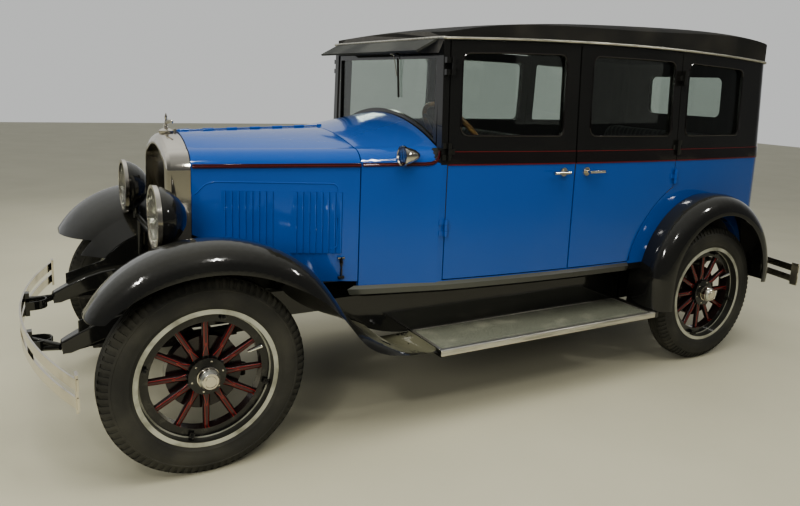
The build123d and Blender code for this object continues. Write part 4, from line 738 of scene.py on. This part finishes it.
def place_floor():
    bpy.ops.mesh.primitive_plane_add(size=40.0, location=(0, 0, 0))
    f = Finish("studio_floor", (0.55, 0.53, 0.44), 0.7)
    f.set("Base Color", f.mix(f.noise(1.2, 5.0), (0.40, 0.385, 0.29), (0.49, 0.47, 0.36)))
    f.set("Roughness", 0.55 + f.noise(3.0, 4.0) * 0.2)
    named("studio_floor", f)


place_camera()
place_lights()
place_floor()


# Body panels
def body_panel(node):
    """Outside in the body's two colours, cloth on the inner face and on the window sills' upper side."""
    def inside(p, n):
        return depth(p) > 26 or (depth(p) > 12 and abs(n.y) < 0.5 and 1.0 < p.z < 1.32)
    o = skin(node, body_finish, angle=28.0)
    paint(o, lining_cloth, inside)
    return o


DOORS = [f"door_{end}_{side}" for end in ("front", "rear") for side in ("left", "right")]
for node in DOORS:
    # what stands out of a door just under the belt is its handle
    paint(body_panel(node), nickel, lambda p, n: depth(p) < -1.5 and 1.12 < p.z < 1.172)
body_panel("rear_body")
body_panel("body_frame")
cowl_skin = skin("cowl", blue, angle=28.0)
paint(cowl_skin, lining_cloth, lambda p, n: n.x < -0.5 and p.z > 0.7 and abs(p.y) < 0.58)
paint(cowl_skin, black, lambda p, n: drawn(p)[0] < A_X + 60 and p.z > 1.2 and abs(p.y) > 0.585)
roof_skin = skin("roof", roof_finish, angle=35.0)
paint(roof_skin, lining_cloth, lambda p, n: n.z < -0.25 or (p.z < 1.79 and depth(p) > 52))
skin("windshield_frame", black)
skin("sun_visor", visor_finish)
for side in ("left", "right"):
    skin(f"hood_top_{side}", blue, angle=24.0)
    skin(f"hood_side_{side}", blue, angle=24.0)
skin("front_fenders", fender_finish, angle=40.0)
skin("rear_fenders", fender_finish, angle=40.0)
apron_skin = skin("splash_aprons", black, angle=40.0)
# the aprons' top edge gets the sill finish, with its painted reflection of the floor
paint(apron_skin, sill_finish, lambda p, n: p.z > 0.588)
skin("radiator_shell", nickel, angle=24.0)
# the bars in front of the core are bright
core = skin("radiator_core", core_finish, angle=24.0)
paint(core, nickel, lambda p, n: p.x > (1472 + SHIFT) * 0.001)
skin("hood_pin", blue, angle=35.0)
skin("headlamp_rims", nickel, angle=35.0)
# the bumpers' irons are black and their bars, which curve back by 165 mm at their ends, are bright
for node, ahead, face in (("front_bumper", 1, 2083.0), ("rear_bumper", -1, 2323.0)):
    paint(skin(node, nickel, angle=35.0), black,
          lambda p, n: drawn(p)[0] * ahead < face - 165.0 * (p.y / 0.85) ** 2 and abs(p.y) < 0.5)
for node in ("headlamp_bowls", "lamp_bar", "tail_lamp"):
    skin(node, black, angle=35.0)
# the cowl lamps' front faces, ahead of their rims, are glass
cowl_lamps = skin("cowl_lamps", nickel, angle=35.0)
paint(cowl_lamps, lamp_glass, lambda p, n: n.x > 0.9 and p.x > 0.12 + 0.562)
for node in ("front_axle", "rear_axle", "knuckle_left", "knuckle_right", "tie_rod", "steering_column"):
    skin(node, iron, angle=35.0)
skin("fuel_tank", black, angle=35.0)
steering = skin("steering_wheel", rim_wood, angle=50.0)
steering_hub = at(112.0, 370.0, 1290.0)
paint(steering, black, lambda p, n: (p - steering_hub).length < 0.196)
floor_skin = skin("floor", floor_wood, angle=35.0)
paint(floor_skin, lining_cloth, lambda p, n: n.z > 0.5 or n.x < -0.5)
paint(floor_skin, black, lambda p, n: abs(p.y) > 0.55 or p.z < 0.595 or (n.x > 0.5 and drawn(p)[0] > A_X))
PLAIN = {"chassis_frame": black, "leaf_springs": iron, "seat_bases": lining_cloth, "engine": engine_iron,
         "running_boards": black, "fixed_glass": window_glass, "headlamp_lenses": lamp_glass}
PLAIN.update((node.replace("door", "door_glass"), window_glass) for node in DOORS)
for node, finish in PLAIN.items():
    NODES[node].data.materials.clear()
    NODES[node].data.materials.append(finish.material)


# Wheels and tyres: label, wheel's node, tyre's node, middle, side its face looks to (0: the back)
WHEEL_ROWS = [
    ("front_left", "wheel_front_left", "tyre_front_left", at(FRONT_X, TRACK / 2, TYRE_R), 1),
    ("front_right", "wheel_front_right", "tyre_front_right", at(FRONT_X, -TRACK / 2, TYRE_R), -1),
    ("rear_left", "wheel_rear_left", "tyre_rear_left", at(REAR_X, TRACK / 2, TYRE_R), 1),
    ("rear_right", "wheel_rear_right", "tyre_rear_right", at(REAR_X, -TRACK / 2, TYRE_R), -1),
    ("spare", "spare_wheel", "spare_tyre", at(SPARE_X, 0, SPARE_Z), 0),
]
LUGS = 84
# radius and half width of the tyre's section, from the bead to the middle of the tread
TYRE_ROWS = [(268.0, 49.0), (274.0, 55.0), (281.0, 58.5), (290.0, 61.5), (293.0, 64.0), (297.0, 64.5),
             (301.0, 64.0), (312.0, 67.0), (326.0, 69.8), (342.0, 67.2), (353.0, 63.8), (356.0, 65.0),
             (360.0, 63.0), (364.0, 60.2), (375.0, 55.4), (387.0, 49.6), (393.0, 44.0), (398.0, 37.0),
             (400.0, 33.0), (400.0, 24.0), (395.5, 22.5), (395.5, 18.5), (400.0, 17.0), (400.0, 6.0),
             (396.0, 4.5), (396.0, 1.5)]
SHOULDER_R = 364.0


def make_tyre():
    rows = TYRE_ROWS + [(r, -h) for r, h in reversed(TYRE_ROWS)] + TYRE_ROWS[:1]
    o = lathe("tyre", rows, LUGS * 2, rubber, Vector((0, 0, 0)), capped=False)

    def notch(face):
        """Every second face from the shoulder to the outer groove, staggered from side to side."""
        c = centre_of(face)
        r, h = math.hypot(c.x, c.y) * 1000, c.z * 1000
        k = int((math.atan2(c.y, c.x) + 2 * pi) / (pi / LUGS) + 0.01) + (h <= 0)
        return k % 2 == 0 and r > SHOULDER_R and abs(h) + (r - SHOULDER_R) * 0.28 > 40 and abs(h) > 23.5
    select(o, "faces", notch)
    bpy.ops.mesh.extrude_region_shrink_fatten(
        MESH_OT_extrude_region={}, TRANSFORM_OT_shrink_fatten={"value": -0.0045})
    object_mode()
    return tidy(o, 26)


def round_hub(radius, degrees, height):
    """A point on the wheel, in metres from its middle."""
    a = radians(degrees)
    return Vector((cos(a) * radius, sin(a) * radius, height))


NUT_ROWS = [(8.5, 0.0), (8.5, 9.0), (6.0, 10.0), (6.0, 17.0), (3.0, 18.5)]
BOLT_ROWS = [(5.0, 0.0), (5.0, 3.0), (3.6, 4.6), (0.5, 5.2)]
RING_ROWS = [(43.5, 0.0), (44.5, 3.0), (43.5, 6.0), (40.2, 7.0), (40.2, 22.0), (42.2, 24.0), (42.2, 30.0),
             (40.1, 32.0)]
FACE_ROWS = [(33.0, 0.0), (31.0, 2.0), (25.0, 2.6), (23.5, 1.6), (22.0, 1.6), (20.5, 3.2), (0.5, 4.6)]
STEM_ROWS = [(5.6, 0.0), (6.6, 4.0), (10.0, 56.0), (10.0, 62.0), (6.0, 63.0)]


def make_lug(degrees):
    """A rim lug, which rises toward the rim, with its nut."""
    bpy.ops.mesh.primitive_cube_add(size=1.0, location=(0, 0, 0))
    o = named("lug", black)
    o.scale = (0.030, 0.022, 0.012)
    settle(o)
    select(o, "faces", lambda f: f.normal.x > 0.9)
    bpy.ops.mesh.extrude_region_move(TRANSFORM_OT_translate={"value": (0.014, 0, 0.010)})
    object_mode()
    bevel(o, 2.5, 2)
    o.data.transform(Matrix.Translation((0.247, 0, 0.035)))
    o = join("lug", o, lathe("nut", NUT_ROWS, 6, black, Vector((0.244, 0, 0.040)), smooth=20))
    o.data.transform(Matrix.Rotation(pi / 2 - radians(degrees), 4, "Z"))
    return o


def make_hardware():
    """Four rim lugs, six flange bolts, the cap's ring and face and the valve stem, about Z, outward up."""
    parts = [make_lug(90 * k + 15) for k in range(4)]
    parts += [lathe("bolt", BOLT_ROWS, 10, nickel, round_hub(0.062, 60 * k + 15, 0.0335)) for k in range(6)]
    parts.append(lathe("cap_ring", RING_ROWS, 40, nickel, Vector((0, 0, 0.040)), smooth=35))
    parts.append(lathe("cap_face", FACE_ROWS, 40, nickel, Vector((0, 0, 0.0885)), smooth=35))
    inner, outer = round_hub(0.180, 22, 0.012), round_hub(0.242, 22, 0.026)
    parts.append(lathe("stem", STEM_ROWS, 16, bright_nickel, inner, outer - inner))
    return join("wheel_hardware", *parts)


def upright(centre, side):
    """Turns a piece made about Z, outward up, onto a wheel whose outer face looks along side.
    Its own +Y stays up and its +X points to the car's rear as seen from the left."""
    out = Vector((0, side, 0)) if side else Vector((-1, 0, 0))
    up = Vector((0, 0, 1))
    right = up.cross(out)
    return Matrix.Translation(centre) @ Matrix((right, up, out)).transposed().to_4x4()


tyre = make_tyre()
hardware = make_hardware()
for label, wheel_node, tyre_node, centre, side in WHEEL_ROWS:
    place = upright(centre, side)
    skin(wheel_node, make_wheel("wheel_finish_" + label, centre, side))
    tread = copy_of(tyre, "tyre_tread_" + label, place)
    ride(tread, BODY_OF[tyre_node])
    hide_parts(tyre_node)
    ride(copy_of(hardware, "wheel_hardware_" + label, place), BODY_OF[wheel_node])
bpy.data.objects.remove(tyre)
bpy.data.objects.remove(hardware)


# Belt moulding and lining
def strip(node, label, z0, z1, thick, finish):
    """A raised strip between two heights, cut from the outside of a panel's skin."""
    o = copy_of(bpy.data.objects[node + "_skin"], f"{node}_{label}")
    recoat(o, finish)

    def spare(f):
        c = centre_of(f)
        outward = Vector((c.x - at(-800, 0, 0).x, c.y, 0))
        faces_out = abs(f.normal.y) > 0.6 or drawn(c)[0] < CORNER_X - 5
        return not (abs(depth(c)) < 2.5 and faces_out and f.normal.dot(outward) > 0)
    select(o, "faces", spare)
    bpy.ops.mesh.delete(type="FACE")
    for level, inner in ((z0, True), (z1, False)):
        bpy.ops.mesh.select_all(action="SELECT")
        bpy.ops.mesh.bisect(plane_co=(0, 0, level * 0.001), plane_no=(0, 0, 1),
                            clear_inner=inner, clear_outer=not inner)
    object_mode()
    only(o)
    m = o.modifiers.new("raise", "SOLIDIFY")
    m.thickness, m.offset = thick * 0.001, 1.0
    bpy.ops.object.modifier_apply(modifier=m.name)
    tidy(o, 30)
    ride(o, BODY_OF[node])


# label, lower edge, upper edge, how far it stands out, finish
STRIP_ROWS = [("belt", 1186.5, 1250.0, 3.0, belt_black),
              ("belt_line_high", 1250.0, 1252.2, 3.3, red_line),
              ("belt_line_low", 1186.8, 1193.0, 3.5, maroon_line)]
for node in DOORS + ["rear_body"]:
    for row in STRIP_ROWS:
        strip(node, *row)


# Hood and cowl moulding, which turns up at the windshield post
def hood_side(x):
    return HALF_NOSE + (HALF_DASH - HALF_NOSE) * (HOOD_X - x) / (HOOD_X - DASH_X)


def hood_belt(x):
    return 1170.0 + 20.0 * (HOOD_X - x) / (HOOD_X - DASH_X)


def cowl_side(x):
    return HALF_DASH + (HALF_A - HALF_DASH) * (DASH_X - x) / (DASH_X - A_X - 34)


def lined_moulding(where, points, width, body):
    """A maroon moulding on both sides, with a red line along its face."""
    moulding = tube(where + "_moulding", points, (7.0, width), maroon)
    both(bevel(moulding, 1.6), where + "_moulding", body)
    line = tube(where + "_line", [(x, y + 3.2, z) for x, y, z in points], 0.9, red_line)
    both(line, where + "_line", body)


CURL = [(718, 1190.8), (700, 1191.0), (480, 1194.0), (430, 1195.0), (400, 1198.0), (382, 1205.0),
        (370, 1216.0), (362, 1232.0), (358, 1256.0)]
hood_points = [(x, hood_side(x) + 8.5, hood_belt(x)) for x in (HOOD_X - 4, DASH_X + 6)]
cowl_points = [(x, cowl_side(x) + (3.0 if z < 1200 else 1.0 - (z - 1200) * 0.22), z) for x, z in CURL]
lined_moulding("hood", hood_points, 18.0, "hood_SIDE")
lined_moulding("cowl", cowl_points, 17.0, "chassis")


# Drip moulding round the roof's edge
def drip_points():
    left = [(A_X + 42, HALF_A - 40, ROOF_EDGE + 6), (A_X + 38, HALF_A - 22, ROOF_EDGE + 6)]
    for k in range(25):
        x = A_X + 20 + (CORNER_X - A_X - 20) * k / 24
        left.append((x, half_width(x) - 13.0, roof_edge(x) + 6))
    cy, r = HALF_REAR - CORNER_R, CORNER_R - 14
    for k in range(1, 9):
        a = pi / 2 * k / 8
        x = CORNER_X - r * sin(a)
        left.append((x, cy + r * cos(a), roof_edge(x) + 6))
    return left + [(x, -y, z) for x, y, z in reversed(left)]


ride(tube("drip_moulding", drip_points(), 6.5, trim_metal, closed=True), "chassis")


# Seats: pressed out by a cloth simulation, then pleated
# name, node it stands for, from and to along x, from and to in height, radius of its upper corners
SEAT_ROWS = [
    ("front_seat_cushion", "front_seat", (-316, 118), (812, 948), 0.0),
    ("front_seat_back", "front_seat", (-462, -352), (812, 1318), 90.0),
    ("rear_seat_cushion", "rear_seat", (REAR_X - 318, REAR_X + 158), (812, 948), 0.0),
    ("rear_seat_back", "rear_seat", (REAR_X - 472, REAR_X - 352), (812, 1326), 90.0),
]
SEAT_HALF, PLEAT = 546.0, 74.6  # half width, and from one pleat's groove to the next
MOST_SWELL, PLEAT_DEPTH = 0.024, 0.007  # metres
SIMULATED_FRAMES = 20


def swell(o):
    """Presses the pad out from inside, no further than MOST_SWELL."""
    rest = [v.co.copy() for v in o.data.vertices]
    m = o.modifiers.new("cloth", "CLOTH")
    m.settings.use_pressure = True
    m.settings.uniform_pressure_force = 4.0
    m.settings.effector_weights.gravity = 0.0
    m.settings.quality = 4
    scene = bpy.context.scene
    for k in range(1, SIMULATED_FRAMES + 1):
        scene.frame_set(k)
    bpy.ops.object.modifier_apply(modifier=m.name)
    scene.frame_set(1)
    for v, was in zip(o.data.vertices, rest):
        move = v.co - was
        if move.length > MOST_SWELL:
            v.co = was + move * (MOST_SWELL / move.length)


def seat_pad(name, node, xs, zs, round_top):
    low, high = at(xs[0], -SEAT_HALF, zs[0]), at(xs[1], SEAT_HALF, zs[1])
    bpy.ops.mesh.primitive_cube_add(size=1.0, location=(low + high) / 2)
    o = named(name, seat_cloth)
    o.scale = [abs(v) for v in high - low]
    settle(o)
    if round_top:
        select(o, "edges", lambda e: centre_of(e).z > high.z - 0.01 and abs(centre_of(e).y) > 0.5)
        bpy.ops.mesh.bevel(offset=round_top * 0.001, segments=6)
        object_mode()
    bevel(o, 22, 3, 60)
    m = o.modifiers.new("voxels", "REMESH")
    m.mode, m.voxel_size = "VOXEL", 0.011
    only(o)
    bpy.ops.object.modifier_apply(modifier=m.name)
    swell(o)
    only(o)
    m = o.modifiers.new("finer", "SUBSURF")
    m.levels = m.render_levels = 1
    bpy.ops.object.modifier_apply(modifier=m.name)
    normals = [v.normal.copy() for v in o.data.vertices]
    for v, normal in zip(o.data.vertices, normals):
        edge = abs((v.co.y * 1000 / PLEAT) % 1.0 - 0.5) * 2
        groove = max(0.0, edge - 0.80) / 0.20
        if normal.z > 0.3 or (round_top and abs(normal.x) > 0.4):
            v.co -= normal * (PLEAT_DEPTH * groove ** 1.5)
        v.co.x = min(max(v.co.x, low.x - 0.010), high.x + 0.011)
        v.co.z = min(max(v.co.z, low.z - 0.010), high.z + 0.015)
        v.co.y = min(max(v.co.y, low.y - 0.013), high.y + 0.013)
    only(o)
    bpy.ops.object.shade_smooth()
    ride(o, "chassis")
    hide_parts(node)


for row in SEAT_ROWS:
    seat_pad(*row)

# Running boards: linoleum in an aluminium edge, and the apron's plate behind them
MAT_FRONT, MAT_REAR, MAT_OUT = BOARD_FRONT - 14, BOARD_REAR + 34, BOARD_OUT - 20
END_IN = BOARD_IN + 2
# name, from and to along x, along y and above the board's top, finish, rounded edge and its segments, slot
BOARD_ROWS = [
    ("board_mat", (MAT_REAR + 12, MAT_FRONT), (BOARD_IN + 12, MAT_OUT), (0, 2.5),
     linoleum, 1.0, 2, "board_grey"),
    ("board_nosing", (BOARD_REAR, BOARD_FRONT), (BOARD_OUT - 22, BOARD_OUT + 3), (-29, 4),
     trim_metal, 6.0, 4, "nickel"),
    ("board_end_0", (MAT_FRONT, MAT_FRONT + 12), (END_IN, MAT_OUT), (0, 4), trim_metal, 1.5, 2, "nickel"),
    ("board_end_1", (MAT_REAR, MAT_REAR + 12), (END_IN, MAT_OUT), (0, 4), trim_metal, 1.5, 2, "nickel"),
    ("board_inner_edge", (MAT_REAR, BOARD_FRONT - 2), (BOARD_IN + 1, BOARD_IN + 12), (0, 4),
     trim_metal, 1.5, 2, "nickel"),
    ("apron_tail", (-1078, -952), (BOARD_IN - 4, BOARD_IN), (-4, 194), black, 1.0, 2, "chassis_black"),
]
for name, xs, ys, zs, finish, edge, segments, slot in BOARD_ROWS:
    low, high = [(xs[k], ys[k], BOARD_TOP + zs[k]) for k in (0, 1)]
    both(slab(name, low, high, finish, edge, segments), name, "chassis")

# Headlamp reflectors and bulbs
DISH_ROWS = [(121.0, 0.0), (116.0, -22.0), (100.0, -48.0), (76.0, -70.0), (46.0, -86.0), (16.0, -94.0)]
BULB_ROWS = [(9.0, -92.0), (9.0, -74.0), (13.0, -66.0), (16.0, -54.0), (13.0, -42.0), (7.0, -36.0),
             (0.4, -34.0)]
for side, s in (("left", 1), ("right", -1)):
    place = at(LAMP_X - 3, s * LAMP_Y, LAMP_Z)
    dish = lathe("dish", DISH_ROWS, 40, bright_nickel, place, (1, 0, 0), capped=False)
    bulb = lathe("bulb", BULB_ROWS, 20, lamp_glass, place, (1, 0, 0))
    ride(join(f"headlamp_reflector_{side}", dish, bulb), "chassis")


# Hood: the pressed line on its sides, and the latches
def surface(node):
    """The faces of a node, to set small pieces on."""
    mesh = NODES[node].data
    return BVHTree.FromPolygons([v.co for v in mesh.vertices], [p.vertices for p in mesh.polygons])


def out_from(tree, x, z):
    """Drawn y of the left surface at x, z."""
    spot, _, _, _ = tree.ray_cast(at(x, 1500.0, z), Vector((0, -1, 0)))
    return drawn(spot)[1]


hood_side_face = surface("hood_side_left")
PANEL_LINE = [(1402, 1046), (1390, 1056), (1374, 1074), (1358, 1090), (1340, 1099), (1316, 1103),
              (1100, 1103), (850, 1103), (830, 1100), (820, 1090), (817, 1074), (817, 950), (817, 836),
              (820, 820), (830, 810), (846, 806)]
panel_points = [(x, out_from(hood_side_face, x, z) - 1.2, z) for x, z in PANEL_LINE]
panel_line = tube("hood_panel_line", panel_points, 3.6, blue, smooth=60.0)
both(panel_line, "hood_panel_line", "hood_SIDE")

LATCH_X = 803.0
y_high, y_low = [out_from(hood_side_face, LATCH_X, z) for z in (760.0, 680.0)]
PIN_ROWS = [(3.5, -17.0), (6.5, -16.0), (6.5, -13.0), (4.0, -12.0), (4.0, 12.0), (6.5, 13.0), (6.5, 16.0),
            (3.5, 17.0)]
GRIP_ROWS = [(5.0, -15.0), (7.5, -13.0), (6.0, 0.0), (7.5, 13.0), (5.0, 15.0)]
lever_points = [(LATCH_X, y_high + 9, 768), (LATCH_X - 1, y_high + 12, 740),
                (LATCH_X - 2, y_high * 0.5 + y_low * 0.5 + 10, 712), (LATCH_X - 2, y_low + 7, 676)]
plate = slab("latch_plate", (LATCH_X - 15, y_high - 1, 746), (LATCH_X + 15, y_high + 4, 772), blue, 2.0)
lever = bevel(tube("latch_lever", lever_points, (7.0, 15.0), black), 2.0)
pin = lathe("latch_pin", PIN_ROWS, 14, nickel, at(LATCH_X, y_high + 8, 764), (1, 0, 0))
grip = lathe("latch_grip", GRIP_ROWS, 14, black, at(LATCH_X - 2, y_low + 8, 673), (1, 0, 0))
both(join("hood_latch", plate, lever, pin, grip), "hood_latch", "hood_SIDE")

# Front end: the straps that carry the bumper's bars, and the covers on the frame's horns
STRAP_Y, STRAP_Z = 276.0, 459.0
STRAP_LINE = [(2068, -46), (2034, -46), (2006, -41), (1986, -26), (1978, 0), (1986, 26), (2006, 41),
              (2034, 46), (2068, 46)]
strap = tube("bumper_strap", [(x, STRAP_Y + y, STRAP_Z) for x, y in STRAP_LINE], (6.0, 42.0), black)
both(bevel(strap, 1.5), "bumper_strap", "chassis")

# x, y, z, size
HORN_ROWS = [(1951, 350, 455, 0.55), (1944, 350, 456, 0.86), (1925, 350, 461, 1.0), (1870, 351, 485, 1.12),
             (1800, 352, 512, 1.25), (1720, 353, 530, 1.38), (1630, 354, 540, 1.46), (1540, 354, 544, 1.46)]
horn = tube("frame_horn_cover", [row[:3] for row in HORN_ROWS], (54.0, 62.0), black,
            taper=[row[3] for row in HORN_ROWS])
both(tidy(bevel(horn, 9.0, 3, 40), 45), "frame_horn_cover", "chassis")

# Wiper, hung from the windshield's upper frame
WIPER_Y, WIPER_Z = 151.0, 1700.0
SHAFT_ROWS = [(6.0, 0.0), (6.0, 14.0), (8.5, 15.0), (8.5, 22.0), (5.0, 24.0)]
ARM_LINE = [(366, 0, 0), (360, 6, -50), (352, 14, -110)]
BLADE_LINE = [(345, 6, -20), (345, 16, -110), (345, 28, -216)]
motor = slab("wiper_motor", (350, WIPER_Y - 26, WIPER_Z - 6), (378, WIPER_Y + 26, WIPER_Z + 22),
             black, 6.0, 3)
shaft = lathe("wiper_shaft", SHAFT_ROWS, 16, nickel, at(346, WIPER_Y, WIPER_Z), (1, 0, 0))
arm = tube("wiper_arm", [(x, WIPER_Y + y, WIPER_Z + z) for x, y, z in ARM_LINE], 2.4, nickel)
blade = tube("wiper_blade", [(x, WIPER_Y + y, WIPER_Z + z) for x, y, z in BLADE_LINE], (9.0, 6.0), rubber)
ride(join("wiper", motor, shaft, arm, blade), "chassis")

# Filler cap: a stepped cap with a pointed finial between two plain wings
CAP_X = 1460.0
COLLAR_ROWS = [(31.0, 0.0), (33.0, 4.0), (33.0, 12.0), (30.0, 16.0), (20.0, 21.0), (12.0, 24.0), (10.0, 32.0),
               (12.5, 36.0), (10.0, 40.0), (4.0, 42.0)]
FINIAL_ROWS = [(5.0, 38.0), (8.0, 44.0), (7.0, 52.0), (4.0, 62.0), (5.5, 70.0), (6.5, 76.0), (4.5, 84.0),
               (0.5, 94.0)]
WING_LINE = [(0, 3, 48), (-6, 22, 55), (-12, 42, 58), (-18, 58, 56)]
cap_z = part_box("radiator_cap")[0][2] * 1000
collar = lathe("cap_collar", COLLAR_ROWS, 36, nickel, at(CAP_X, 0, cap_z), smooth=35.0)
finial = lathe("cap_finial", FINIAL_ROWS, 20, nickel, at(CAP_X, 0, cap_z))
wings = []
for s in (1, -1):
    wing = tube("cap_wing", [(CAP_X + x, s * y, cap_z + z) for x, y, z in WING_LINE], (9.0, 15.0), nickel)
    wings.append(bevel(wing, 2.4, 3))
filler_cap = join("radiator_filler_cap", collar, finial, *wings)
ride(filler_cap, "chassis")
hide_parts("radiator_cap")

# Window beads: name, body, front end and rear end of the window
WINDOW_ROWS = [("door_front", "door_front_SIDE", 255.0, -332.0),
               ("door_rear", "door_rear_SIDE", -500.0, -1104.0),
               ("rear_body", "chassis", -1218.0, -1730.0)]
SILL_Z, HEAD_DROP, BEAD_R = 1326.0, 58.0, 40.0


def bead_points(front, rear):
    """A loop round a side window, rounded at its corners, on the outside of the panel."""
    def sill(_):
        return SILL_Z

    def head(x):
        return roof_edge(x) - HEAD_DROP

    # x, height of this side, which way the corner's centre lies in x and z, where its arc starts, next x
    corners = [(front, sill, -1, 1, 0.0, rear), (rear, sill, 1, 1, -90.0, None),
               (rear, head, 1, -1, 180.0, front), (front, head, -1, -1, 90.0, None)]
    points = []
    for x, level, along, up, start, onward in corners:
        cx, cz = x + along * BEAD_R, level(x) + up * BEAD_R
        for k in range(6):
            a = radians(start - 18.0 * k)
            points.append((cx + BEAD_R * cos(a), cz + BEAD_R * sin(a)))
        if onward is not None:
            for u in (0.25, 0.5, 0.75):
                xs = cx + (onward - x) * u * 0.82
                points.append((xs, level(xs)))
    return [(x, half_width(x) - lean(z) - 0.5, z) for x, z in points]


for name, body, front, rear in WINDOW_ROWS:
    bead = tube("bead", bead_points(front, rear), 4.5, belt_black, closed=True)
    both(bead, name + "_window_bead", body)
